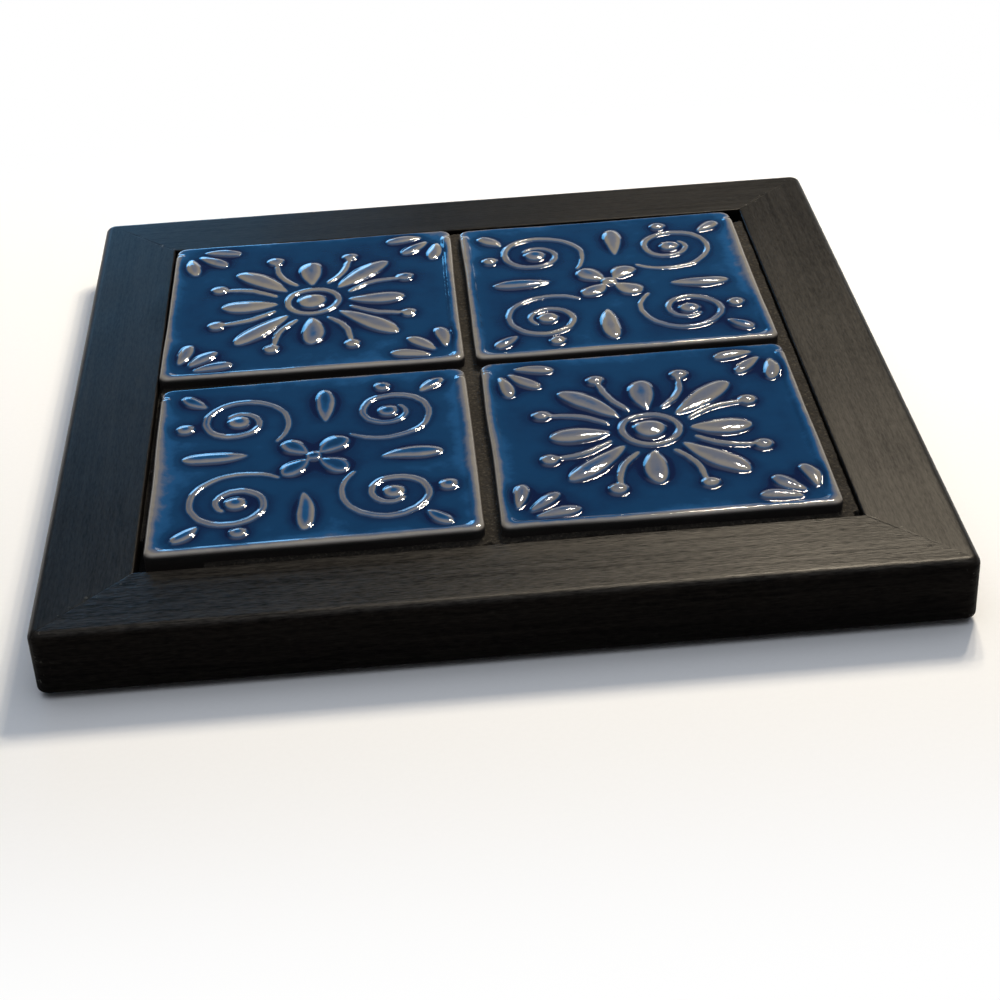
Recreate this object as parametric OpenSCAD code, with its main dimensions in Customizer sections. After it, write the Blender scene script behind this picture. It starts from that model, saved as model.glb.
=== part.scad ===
/* [Tiles] */
// Side of the largest of the four handmade tiles
tile_w = 76.5; // [50:0.5:110]
// Thickness of a tile, from its back to the crest of its rim
tile_t = 8; // [6:0.1:10]
// Radius of a tile's corners in plan
tile_corner_r = 2.4; // [1:0.1:6]
// Radius of the corners of the sunk field inside the rim
field_corner_r = 2.6; // [1:0.1:8]
// Width of the raised rim, from the tile's edge to the flat field
rim_w = 3.4; // [2.4:0.1:6]
// Radius of the round-over on the rim's outer edge
rim_r = 1.5; // [0.6:0.1:2]
// Depth of the field below the crest of the rim
field_drop = 0.8; // [0.3:0.05:1.5]
// Gap between two neighbouring tiles
joint_w = 2.5; // [1:0.1:5]
// Gap between the tiles and the frame
edge_gap = 2.1; // [1:0.1:5]
// How far the crest of the rim stands above the frame
tile_proud = 2; // [0.5:0.1:3.5]

/* [Relief on the tiles] */
// Height of petals, drops and beads above the field
lobe_h = 1.2; // [0.4:0.05:2]
// Height of the boss in the middle of the rosette
boss_h = 1.5; // [0.5:0.05:2.5]
// Width of a stem or scroll
ridge_w = 1.5; // [0.8:0.1:2.5]
// Height of a stem or scroll above the field
ridge_h = 0.8; // [0.3:0.05:1.5]
// Depth below the field at which the sides of the relief turn upright
relief_sink = 0.15; // [0.05:0.05:0.5]
// Depth that every form of the relief runs down into the tile
relief_root = 0.6; // [0.55:0.05:2]

/* [Frame] */
// Width of a rail's top face
rail_w = 21.15; // [16:0.05:35]
// Height of a rail
rail_h = 15.3; // [13.8:0.1:24]
// Radius of the frame's outer corners in plan
corner_r = 3; // [2.7:0.1:8]
// Radius of the outer top edge
top_edge_r = 2.2; // [0.3:0.1:2.5]
// Radius of the outer bottom edge
foot_edge_r = 0.8; // [0.2:0.1:2]
// Radius of the top edge along the opening
lip_edge_r = 0.5; // [0.2:0.1:1.5]
// Width of the rebate that takes the base panel
rebate_w = 6; // [4:0.1:9]

/* [Panel, adhesive and grout] */
// Thickness of the base panel
panel_t = 6; // [3:0.1:8]
// Clearance between the base panel's edge and the rebate
panel_gap = 0.3; // [0.1:0.05:0.8]
// Thickness of the adhesive under a tile
bed_t = 1; // [0.5:0.1:2.5]
// Distance from a tile's edge in to the edge of its adhesive
bed_inset = 2; // [0.5:0.1:8]
// Depth of the grout's face below the top of the frame
grout_drop = 0.7; // [0.2:0.05:3]
// Width of the shrinkage crack between the grout and the frame
crack_w = 0.35; // [0.1:0.05:0.8]
// Depth of that crack below the grout's face
crack_d = 1.2; // [0.3:0.1:3]
// Depth of the places where the grout has broken away
broken_d = 3.6; // [1:0.1:4]

/* [Fixings and pads] */
// Width of one leg of a mitre nail
nail_leg_w = 3.6; // [2:0.1:5]
// Thickness of a mitre nail's steel strip
nail_strip_t = 0.6; // [0.3:0.05:1]
// Length that a mitre nail is driven up into the wood
nail_len = 7; // [5:0.1:10]
// Distance along the mitre between the two nails of a corner
nail_pitch = 7; // [5:0.1:9]
// Shank diameter of a panel pin
pin_d = 1.2; // [0.8:0.05:2]
// Head diameter of a panel pin
pin_head_d = 2.2; // [1.6:0.05:3]
// Thickness of a panel pin's head
pin_head_t = 0.5; // [0.3:0.05:1]
// Depth that a panel pin reaches into the rail above the panel
pin_grip = 4; // [2:0.1:5]
// Distance from the middle of a rail to each of its two panel pins
pin_reach = 45; // [15:0.5:75]
// Diameter of a felt pad
pad_d = 10; // [6:0.5:11]
// Thickness of a felt pad
pad_t = 1.5; // [0.8:0.1:4]
// Distance from the frame's outer edges in to the middle of a felt pad
pad_inset = 8.2; // [7.6:0.1:9.5]

/* [Hidden] */

// The tiles in the order back left, back right, front left, front right
BACK_LEFT = 0;
BACK_RIGHT = 1;
FRONT_LEFT = 2;
FRONT_RIGHT = 3;
COLUMNS = [-1, 1, -1, 1];
ROWS = [1, 1, -1, -1];
// No two handmade tiles are the same size, and none was laid quite square or in its place
TILE_SIDE_SHARES = [1, 0.998, 0.981, 0.991];
TILE_X_SHIFT_SHARES = [-0.7, -0.66, -0.55, -0.53];
TILE_Y_SHIFT_SHARES = [0.02, -0.39, -0.02, 0.14];
TILE_TURNS = [-0.22, 0.14, 0.3, -0.09];

opening = 2 * tile_w + joint_w + 2 * edge_gap;
frame_w = opening + 2 * rail_w;
frame_top = pad_t + rail_h;
tile_z = frame_top + tile_proud - tile_t;
panel_top = tile_z - bed_t;
panel_z = panel_top - panel_t;
panel_w = opening + 2 * rebate_w - 2 * panel_gap;
grout_z = frame_top - grout_drop;
field_z = tile_t - field_drop;
field_half = tile_w / 2 - rim_w;
pad_place = frame_w / 2 - pad_inset;
pin_row = opening / 2 + rebate_w / 2;
pin_len = panel_t + pin_grip;
// Overrun of every cutting solid
cut = 1;

// Steps of a tile's corner arc, of the rim's round-over and of its inner slope
CORNER_STEPS = 4;
ROUND_STEPS = 3;
SLOPE_STEPS = 4;
// Steps round the upper half of a ridge
RIDGE_STEPS = 4;
// Facets round a lobe's fine tip and round its petals
TIP_FN = 6;
PETAL_FN = 12;

// Places and sizes of the relief, as shares of half the field's width
PETAL_START_SHARE = 0.26;
LONG_PETAL_SHARE = 0.58;
SHORT_PETAL_SHARE = 0.42;
PETAL_WIDTH_SHARE = 0.21;
BOSS_SHARE = 0.115;
RING_SHARE = 0.195;
STEM_START_SHARE = 0.31;
STEM_END_SHARE = 0.74;
STEM_BEND_SHARE = 0.05;
BEAD_SHARE = 0.07;
FAN_START_SHARE = 0.13;
FAN_LENGTH_SHARE = 0.3;
FAN_WIDTH_SHARE = 0.12;
CLOVER_START_SHARE = 0.05;
CLOVER_LENGTH_SHARE = 0.25;
CLOVER_WIDTH_SHARE = 0.19;
SCROLL_PLACE_SHARE = 0.53;
SCROLL_OUTER_SHARE = 0.4;
SCROLL_INNER_SHARE = 0.11;
SCROLL_EYE_SHARE = 0.09;
SIDE_DROP_START_SHARE = 0.44;
SIDE_DROP_LENGTH_SHARE = 0.46;
SIDE_DROP_WIDTH_SHARE = 0.15;
SIDE_DROP_SHIFT_SHARE = 0.08;
SIDE_BEAD_PLACE_SHARES = [0.89, -0.49];
CORNER_DROP_START_SHARE = 1.08;
CORNER_DROP_LENGTH_SHARE = 0.24;
// A lobe's tip and shoulder as shares of its width, and where its fullest part lies along it
TIP_WIDTH_SHARE = 0.24;
SHOULDER_WIDTH_SHARE = 0.8;
SHOULDER_PLACE_SHARE = 0.42;
// A ridge's ends as a share of its full width and height
RIDGE_END_SHARE = 0.35;

FAN_SPREAD = 34;
SCROLL_TURN = 540;
SCROLL_STEPS = 26;
STEM_STEPS = 6;

// Places

function tile_side(i) = tile_w * TILE_SIDE_SHARES[i];

function tile_centre(i) = [
    COLUMNS[i] * (tile_w + joint_w) / 2 + TILE_X_SHIFT_SHARES[i] * edge_gap,
    ROWS[i] * (tile_w + joint_w) / 2 + TILE_Y_SHIFT_SHARES[i] * edge_gap
];

module at_tile(i) translate([each tile_centre(i), 0]) rotate([0, 0, TILE_TURNS[i]]) children();

// The tile's body: rings of one rounded square, drawn in and raised along the profile of the rim

function corner_radius(inset) = tile_corner_r + (field_corner_r - tile_corner_r) * inset / rim_w;

function tile_outline(side, inset) = let(r = corner_radius(inset), c = side / 2 - inset - r) [
    for (q = [0:3], i = [0:CORNER_STEPS])
        let(a = 90 * q + 90 * i / CORNER_STEPS, turn = 90 * q + 45)
        [c * sign(cos(turn)) + r * cos(a), c * sign(sin(turn)) + r * sin(a)]
];

// Insets and heights up the side, over the round crest and down the soft slope to the field
RIM_PROFILE = [
    [0, 0],
    for (i = [0:ROUND_STEPS])
        let(a = 90 * i / ROUND_STEPS)
        [rim_r * (1 - cos(a)), tile_t - rim_r * (1 - sin(a))],
    for (i = [1:SLOPE_STEPS])
        let(s = i / SLOPE_STEPS)
        [rim_r + (rim_w - rim_r) * s, tile_t - field_drop * (1 - cos(180 * s)) / 2]
];

// Faces of a stack of closed rings with the same number of points, with both ends capped
function loft_faces(rings, n) = [
    [for (j = [0:n - 1]) j],
    for (i = [0:rings - 2], j = [0:n - 1])
        let(k = (j + 1) % n, low = i * n, high = low + n)
        each [[low + j, high + j, low + k], [low + k, high + j, high + k]],
    [for (j = [n - 1:-1:0]) (rings - 1) * n + j]
];

module tile_body(side) {
    n = 4 * (CORNER_STEPS + 1);
    points = [for (p = RIM_PROFILE, xy = tile_outline(side, p[0])) [xy[0], xy[1], p[1]]];
    polyhedron(points, loft_faces(len(RIM_PROFILE), n), convexity = 4);
}

// Forms of the relief: lobes, beads and ridges, all rooted in the tile

// A round dome that swells from the field
module bead(r, high, fn = 8) {
    translate([0, 0, field_z - relief_sink]) scale([1, 1, (high + relief_sink) / r]) rotate([0, 90, 0])
        sphere(r, $fn = fn);
}

// A petal along +X from x = start: a fine tip, a full shoulder and a round end
module lobe(start, long, wide, high, fn = 8) {
    tip_r = wide * TIP_WIDTH_SHARE / 2;
    end_r = wide * SHOULDER_WIDTH_SHARE / 2;
    hull() {
        translate([start + tip_r, 0]) bead(tip_r, high * TIP_WIDTH_SHARE, TIP_FN);
        translate([start + long * (1 - SHOULDER_PLACE_SHARE), 0]) bead(wide / 2, high, fn);
        translate([start + long - end_r, 0]) bead(end_r, high * SHOULDER_WIDTH_SHARE, fn);
    }
}

function ridge_swell(t) = RIDGE_END_SHARE + (1 - RIDGE_END_SHARE) * pow(sin(180 * t), 0.5);

// A half-round ridge that follows a path in plan and thins towards its ends
module ridge(path) {
    last = len(path) - 1;
    points = [
        for (i = [0:last])
            let(
                run = path[min(i + 1, last)] - path[max(i - 1, 0)],
                side = [-run[1], run[0]] / norm(run),
                s = ridge_swell(i / last),
                edge = side * s * ridge_w / 2,
                rise = s * ridge_h + relief_sink,
                low = field_z - relief_sink
            )
            each [
                [each path[i] + edge, field_z - relief_root],
                for (j = [0:RIDGE_STEPS])
                    let(a = 180 * j / RIDGE_STEPS)
                    [each path[i] + edge * cos(a), low + rise * sin(a)],
                [each path[i] - edge, field_z - relief_root]
            ]
    ];
    polyhedron(points, loft_faces(last + 1, RIDGE_STEPS + 3), convexity = 6);
}

// A closed ring of the same half-round section
module ring(r) {
    translate([0, 0, field_z]) rotate_extrude($fn = 28) translate([r, 0]) intersection() {
        translate([0, -relief_sink]) scale([ridge_w / 2, ridge_h + relief_sink])
            circle(1, $fn = 2 * RIDGE_STEPS);
        translate([-ridge_w, -relief_root]) square([2 * ridge_w, relief_root + ridge_h]);
    }
}

// A stem that leaves the rosette and bends a little to one side
function stem_path(f) = [
    for (i = [0:STEM_STEPS])
        let(t = i / STEM_STEPS)
        f * [STEM_START_SHARE + (STEM_END_SHARE - STEM_START_SHARE) * t, STEM_BEND_SHARE * sin(180 * t)]
];

// A volute that starts towards the tile's middle and shrinks by the same share with each step
function scroll_path(f) = [
    for (i = [0:SCROLL_STEPS])
        let(
            t = i / SCROLL_STEPS,
            r = f * SCROLL_OUTER_SHARE * pow(SCROLL_INNER_SHARE / SCROLL_OUTER_SHARE, t),
            a = SCROLL_TURN * t - 180
        )
        r * [cos(a), sin(a)]
];

module petal(f, long_share) {
    lobe(f * PETAL_START_SHARE, f * long_share, f * PETAL_WIDTH_SHARE, lobe_h, PETAL_FN);
}

// The first pattern: an eight-petalled rosette with stems between and a fan in each corner
module rosette_relief(f) {
    bead(f * BOSS_SHARE, boss_h, 16);
    ring(f * RING_SHARE);
    for (q = [0:3]) rotate([0, 0, 90 * q]) {
        petal(f, SHORT_PETAL_SHARE);
        rotate([0, 0, 45]) petal(f, LONG_PETAL_SHARE);
        for (side = [-1, 1]) rotate([0, 0, 22.5 * side]) mirror([0, side < 0 ? 1 : 0, 0]) {
            ridge(stem_path(f));
            translate([f * (STEM_END_SHARE + BEAD_SHARE / 2), 0]) bead(f * BEAD_SHARE, lobe_h);
        }
        translate([f, f]) for (turn = [-FAN_SPREAD, 0, FAN_SPREAD]) rotate([0, 0, turn - 135])
            lobe(f * FAN_START_SHARE, f * FAN_LENGTH_SHARE, f * FAN_WIDTH_SHARE, lobe_h);
    }
}

// The second pattern: a clover in the middle, a volute in each quarter and drops between them
module scroll_relief(f) {
    bead(f * BEAD_SHARE, lobe_h);
    for (q = [0:3]) rotate([0, 0, 90 * q]) {
        rotate([0, 0, 45]) {
            lobe(f * CLOVER_START_SHARE, f * CLOVER_LENGTH_SHARE, f * CLOVER_WIDTH_SHARE, lobe_h, PETAL_FN);
            lobe(f * CORNER_DROP_START_SHARE, f * CORNER_DROP_LENGTH_SHARE, f * FAN_WIDTH_SHARE, lobe_h);
        }
        translate([f * SCROLL_PLACE_SHARE, f * SCROLL_PLACE_SHARE]) rotate([0, 0, 45]) {
            ridge(scroll_path(f));
            bead(f * SCROLL_EYE_SHARE, lobe_h);
        }
        translate([f * SIDE_DROP_START_SHARE, -f * SIDE_DROP_SHIFT_SHARE])
            lobe(0, f * SIDE_DROP_LENGTH_SHARE, f * SIDE_DROP_WIDTH_SHARE, lobe_h);
        translate(f * SIDE_BEAD_PLACE_SHARES) bead(f * BEAD_SHARE, lobe_h);
    }
}

module tile(i) {
    f = field_half * TILE_SIDE_SHARES[i];
    color("navy") translate([0, 0, tile_z]) at_tile(i) {
        tile_body(tile_side(i));
        if (i == BACK_LEFT || i == FRONT_RIGHT) rosette_relief(f);
        else scroll_relief(f);
    }
}

// The frame: four rails, mitred at the corners

// The waste outside a round edge whose corner is at the origin, with the wood below and to the left
module edge_waste(r) {
    difference() {
        translate([-r, -r]) square(r + cut);
        translate([-r, -r]) circle(r, $fn = 48);
    }
}

// The outermost part of a rail's section: x runs out to the outer face, y up from the underside
module outer_strip(width) {
    difference() {
        square([width, rail_h]);
        translate([width, rail_h]) edge_waste(top_edge_r);
        translate([width, 0]) mirror([0, 1]) edge_waste(foot_edge_r);
    }
}

// The whole section, with the rebate for the panel below and a soft edge along the opening
module rail_section() {
    difference() {
        outer_strip(rail_w);
        translate([-cut, -cut]) square([rebate_w + cut, panel_top - pad_t + cut]);
        translate([0, rail_h]) mirror([1, 0]) edge_waste(lip_edge_r);
    }
}

// The right half of a rail along X on the +Y side of the opening, with half of a round corner at its end
module half_rail() {
    corner = frame_w / 2 - corner_r;
    intersection() {
        union() {
            translate([0, opening / 2, pad_t]) rotate([90, 0, 90]) linear_extrude(corner) rail_section();
            translate([corner, corner, pad_t]) rotate_extrude(angle = 90, $fn = 96) outer_strip(corner_r);
        }
        linear_extrude(frame_top + cut) polygon([[0, 0], [frame_w, frame_w], [0, frame_w]]);
    }
}

module rail(turn) {
    color([0.1, 0.09, 0.09]) difference() {
        rotate([0, 0, turn]) for (side = [0, 1]) mirror([side, 0, 0]) half_rail();
        mitre_nail_strips();
        panel_pin_shanks(0);
    }
}

// The base panel, let into the rebate from below and pinned to the rails

module panel() {
    color("tan") difference() {
        translate([-panel_w / 2, -panel_w / 2, panel_z]) cube([panel_w, panel_w, panel_t]);
        panel_pin_shanks(0);
        panel_pin_heads(cut);
    }
}

module at_pins() {
    for (turn = [0:90:270], side = [-1, 1])
        rotate([0, 0, turn]) translate([side * pin_reach, pin_row, panel_z]) children();
}

// The shanks start at the panel's underside
module panel_pin_shanks(overrun) {
    at_pins() translate([0, 0, -overrun]) cylinder(h = pin_len + overrun, d = pin_d, $fn = 24);
}

module panel_pin_heads(overrun) {
    at_pins() translate([0, 0, -overrun]) cylinder(h = pin_head_t + overrun, d = pin_head_d, $fn = 24);
}

module pins() {
    color("silver") {
        panel_pin_shanks(0);
        panel_pin_heads(0);
    }
}

// Two V-shaped nails across each mitre, driven up from the underside

module nail_strip() {
    for (turn = [0, 90]) rotate([0, 0, turn])
        translate([-nail_strip_t / 2, -nail_strip_t / 2]) square([nail_leg_w, nail_strip_t]);
}

module mitre_nail_strips() {
    place = pad_place * sqrt(2);
    for (q = [0:3], side = [-1, 1]) rotate([0, 0, 45 + 90 * q])
        translate([place + side * nail_pitch / 2, 0, pad_t]) rotate([0, 0, -45])
            linear_extrude(nail_len) nail_strip();
}

// Adhesive and grout

module bed_outline(i) square(tile_side(i) - 2 * bed_inset, center = true);

module adhesive(i) {
    color("gainsboro") at_tile(i) translate([0, 0, panel_top]) linear_extrude(bed_t) bed_outline(i);
}

// Where the grout has broken away: round the tiles in the back right and front left corners
BROKEN_CORNERS = [[1, 1], [-1, -1]];
BROKEN_WIDTH_SHARES = [0.07, 0.2];

module broken_places() {
    for (i = [0, 1]) let(w = tile_w * BROKEN_WIDTH_SHARES[i] + cut)
        translate(BROKEN_CORNERS[i] * (opening / 2 + cut - w / 2)) square(w, center = true);
}

module grout_block() {
    difference() {
        linear_extrude(grout_z - panel_top) square(opening, center = true);
        // The crack along the frame
        translate([0, 0, grout_z - panel_top - crack_d]) linear_extrude(crack_d + cut) difference() {
            square(opening + cut, center = true);
            square(opening - 2 * crack_w, center = true);
        }
        translate([0, 0, grout_z - panel_top - broken_d]) linear_extrude(broken_d + cut) broken_places();
    }
}

module grout() {
    color("dimgray") difference() {
        translate([0, 0, panel_top]) grout_block();
        for (i = [BACK_LEFT:FRONT_RIGHT]) at_tile(i) {
            translate([0, 0, tile_z]) linear_extrude(tile_t) polygon(tile_outline(tile_side(i), 0));
            translate([0, 0, panel_top - cut]) linear_extrude(bed_t + 2 * cut) bed_outline(i);
        }
    }
}

// Felt pads under the corners

module pad(i) {
    color("dimgray") translate([COLUMNS[i] * pad_place, ROWS[i] * pad_place, 0])
        cylinder(h = pad_t, d = pad_d, $fn = 48);
}

rail(180);  // rail_front
rail(0);  // rail_back
rail(90);  // rail_left
rail(-90);  // rail_right
panel();  // base_panel
tile(BACK_LEFT);  // tile_back_left
tile(BACK_RIGHT);  // tile_back_right
tile(FRONT_LEFT);  // tile_front_left
tile(FRONT_RIGHT);  // tile_front_right
adhesive(BACK_LEFT);  // adhesive_back_left
adhesive(BACK_RIGHT);  // adhesive_back_right
adhesive(FRONT_LEFT);  // adhesive_front_left
adhesive(FRONT_RIGHT);  // adhesive_front_right
grout();
color("silver") mitre_nail_strips();  // mitre_nails
pins();  // panel_pins
pad(BACK_LEFT);  // pad_back_left
pad(BACK_RIGHT);  // pad_back_right
pad(FRONT_LEFT);  // pad_front_left
pad(FRONT_RIGHT);  // pad_front_right
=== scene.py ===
"""Dresses a trivet of four glazed relief tiles in a black-stained frame, and lights it in a plain studio.

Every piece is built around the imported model, in metres, with +Z up and the origin on the table
under the middle of the trivet.
"""

from math import ceil, cos, pi, radians, sin

import bpy
import numpy as np
from bpy.props import FloatProperty, FloatVectorProperty, IntProperty, PointerProperty
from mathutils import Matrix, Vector


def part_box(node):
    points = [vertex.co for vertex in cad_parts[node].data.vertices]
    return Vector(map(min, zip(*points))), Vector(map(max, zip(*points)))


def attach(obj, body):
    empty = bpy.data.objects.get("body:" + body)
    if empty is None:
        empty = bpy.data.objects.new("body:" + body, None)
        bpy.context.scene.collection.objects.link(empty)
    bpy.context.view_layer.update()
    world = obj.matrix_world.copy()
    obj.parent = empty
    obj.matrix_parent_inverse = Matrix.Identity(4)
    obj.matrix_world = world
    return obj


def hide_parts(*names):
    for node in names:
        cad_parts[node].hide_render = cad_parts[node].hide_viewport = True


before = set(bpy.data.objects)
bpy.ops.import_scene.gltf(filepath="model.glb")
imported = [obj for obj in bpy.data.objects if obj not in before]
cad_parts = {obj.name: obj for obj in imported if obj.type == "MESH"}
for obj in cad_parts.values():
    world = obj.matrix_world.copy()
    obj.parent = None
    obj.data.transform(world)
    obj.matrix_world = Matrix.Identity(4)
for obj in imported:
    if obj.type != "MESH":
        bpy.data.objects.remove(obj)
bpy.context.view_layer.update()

bl_info = {
    "name": "Tile trivet",
    "version": (1, 0, 0),
    "blender": (4, 5, 0),
    "location": "3D View > Sidebar > Trivet",
    "description": "Glazed relief tiles, stained frame, grout, base and studio around a packed trivet",
    "category": "Object",
}

BODY = "root"
MM = 0.001

TILES = ("back_left", "back_right", "front_left", "front_right")
ROSETTE_TILES = ("back_left", "front_right")
# Degrees that each tile was laid out of square
TILE_TURNS = {"back_left": -0.22, "back_right": 0.14, "front_left": 0.3, "front_right": -0.09}
# Radius of a tile's corners in plan
TILE_CORNER = 2.4 * MM
# How much glaze has stayed on top of each tile's relief, as a multiple of the veil setting
VEILS = {"back_left": 1.28, "back_right": 1.35, "front_left": 1.9, "front_right": 1.12}
# How far each tile's relief stands up, as a share of its full height
RELIEF_SHARES = {"back_left": 0.8, "back_right": 1.0, "front_left": 0.66, "front_right": 1.0}
# How strongly the glaze on a tile's front rim has rippled
RIPPLES = {"back_right": 0.6, "front_right": 1.0}
# Degrees that each rail is turned from the back rail's place
RAIL_TURNS = {"rail_back": 0, "rail_left": 90, "rail_front": 180, "rail_right": -90}
# How strongly each rail's grain stands out
RAIL_FIGURE = {"rail_back": 0.5, "rail_left": 0.5, "rail_front": 1.0, "rail_right": 0.45}

RAIL_LOW, RAIL_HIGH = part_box("rail_back")
PANEL_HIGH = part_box("base_panel")[1]
OPENING = RAIL_LOW.y
OUTSIDE = RAIL_HIGH.y
FRAME_TOP = RAIL_HIGH.z
FOOT = RAIL_LOW.z
GROUT_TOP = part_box("grout")[1].z


# Number helpers

# Cells of random values along each side, after which the noise repeats
NOISE_CELLS = 64
# Keeps a division clear of zero
TINY = 1e-9


def lattice_noise(x, y, size, seed):
    """Smooth random values from -1 to 1 over the plane, with features about as wide as size."""
    cells = NOISE_CELLS
    table = np.random.default_rng(seed).uniform(-1, 1, (cells, cells))
    u, v = np.asarray(x) / size, np.asarray(y) / size
    i, j = np.floor(u).astype(int), np.floor(v).astype(int)
    a, b = smooth(u - i), smooth(v - j)

    def at(di, dj):
        return table[(i + di) % cells, (j + dj) % cells]

    return (at(0, 0) * (1 - a) + at(1, 0) * a) * (1 - b) + (at(0, 1) * (1 - a) + at(1, 1) * a) * b


def smooth(t):
    """An even S-curve from 0 to 1."""
    t = np.clip(t, 0, 1)
    return t * t * (3 - 2 * t)


def close_to(distance, reach):
    """A soft share that is one at a line and fades over the reach."""
    return np.exp(-(distance / reach) ** 2)


def waves(x, y, sizes, seed):
    """Random waves laid over one another, each with its height and its width."""
    return sum(tall * lattice_noise(x, y, wide, seed + k) for k, (tall, wide) in enumerate(sizes))


def blurred(field, reach):
    """The grid of heights softened over that many points to each side."""
    width = int(ceil(2.5 * reach))
    weights = np.exp(-0.5 * (np.arange(-width, width + 1) / reach) ** 2)
    weights /= weights.sum()
    for axis in (0, 1):
        pad = [(width, width) if k == axis else (0, 0) for k in (0, 1)]
        padded = np.pad(field, pad, mode="edge")
        parts = [
            w * np.take(padded, range(k, k + field.shape[axis]), axis=axis)
            for k, w in enumerate(weights)
        ]
        field = sum(parts)
    return field


def rounded_square(x, y, radius):
    """Points of nested squares, moved onto squares whose corners have the given radius."""
    far, near = np.maximum(abs(x), abs(y)), np.minimum(abs(x), abs(y))
    radius = np.broadcast_to(radius, far.shape)
    core = far - radius
    angle = np.clip(near - core, 0, None) / np.maximum(radius, TINY) * pi / 4
    turned = near > core
    new_far = np.where(turned, core + radius * np.cos(angle), far)
    new_near = np.where(turned, core + radius * np.sin(angle), near)
    x_leads = abs(x) >= abs(y)
    return (
        np.sign(x) * np.where(x_leads, new_far, new_near),
        np.sign(y) * np.where(x_leads, new_near, new_far),
    )


def turned(x, y, angle):
    """The point, or points, turned about the origin."""
    return x * cos(angle) - y * sin(angle), x * sin(angle) + y * cos(angle)


# Mesh helpers


def add_to_scene(thing):
    """Puts a new object into the scene."""
    bpy.context.scene.collection.objects.link(thing)


def joined(x, y, z):
    """Rows of points from grids of their coordinates."""
    return np.stack([x.ravel(), y.ravel(), z.ravel()], -1)


def new_piece(name, points, faces, material, attributes=(), sharp_angle=None):
    """A smooth-shaded mesh that rides on the trivet, with its own values stored at each point."""
    mesh = bpy.data.meshes.new(name)
    mesh.from_pydata(np.asarray(points, float).tolist(), [], faces)
    mesh.validate()
    mesh.shade_smooth()
    if sharp_angle is not None:
        mesh.set_sharp_from_angle(angle=sharp_angle)
    for key, values in dict(attributes).items():
        values = np.asarray(values, np.float32)
        kind, field = ("FLOAT", "value") if values.ndim == 1 else ("FLOAT_VECTOR", "vector")
        mesh.attributes.new(key, kind, "POINT").data.foreach_set(field, values.ravel())
    mesh.materials.append(material)
    piece = bpy.data.objects.new(name, mesh)
    add_to_scene(piece)
    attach(piece, BODY)
    return piece


def grid_faces(index):
    """Quads over a grid of point numbers."""
    a, b, c, d = index[:-1, :-1], index[1:, :-1], index[1:, 1:], index[:-1, 1:]
    return np.stack([a, b, c, d], -1).reshape(-1, 4).tolist()


def border_of(index):
    """The point numbers round the outside of a grid, counter-clockwise seen from above."""
    return np.concatenate([index[:-1, 0], index[-1, :-1], index[:0:-1, -1], index[0, :0:-1]])


def band_faces(upper, lower):
    """Quads between two closed rings of points, facing outwards where the rings run counter-clockwise."""
    upper, lower = np.asarray(upper), np.asarray(lower)
    return np.stack([upper, lower, np.roll(lower, -1), np.roll(upper, -1)], -1).tolist()


def dress(node, material):
    """Gives a carried-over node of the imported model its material."""
    node.data.materials.clear()
    node.data.materials.append(material)


# Settings that a user would change


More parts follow.
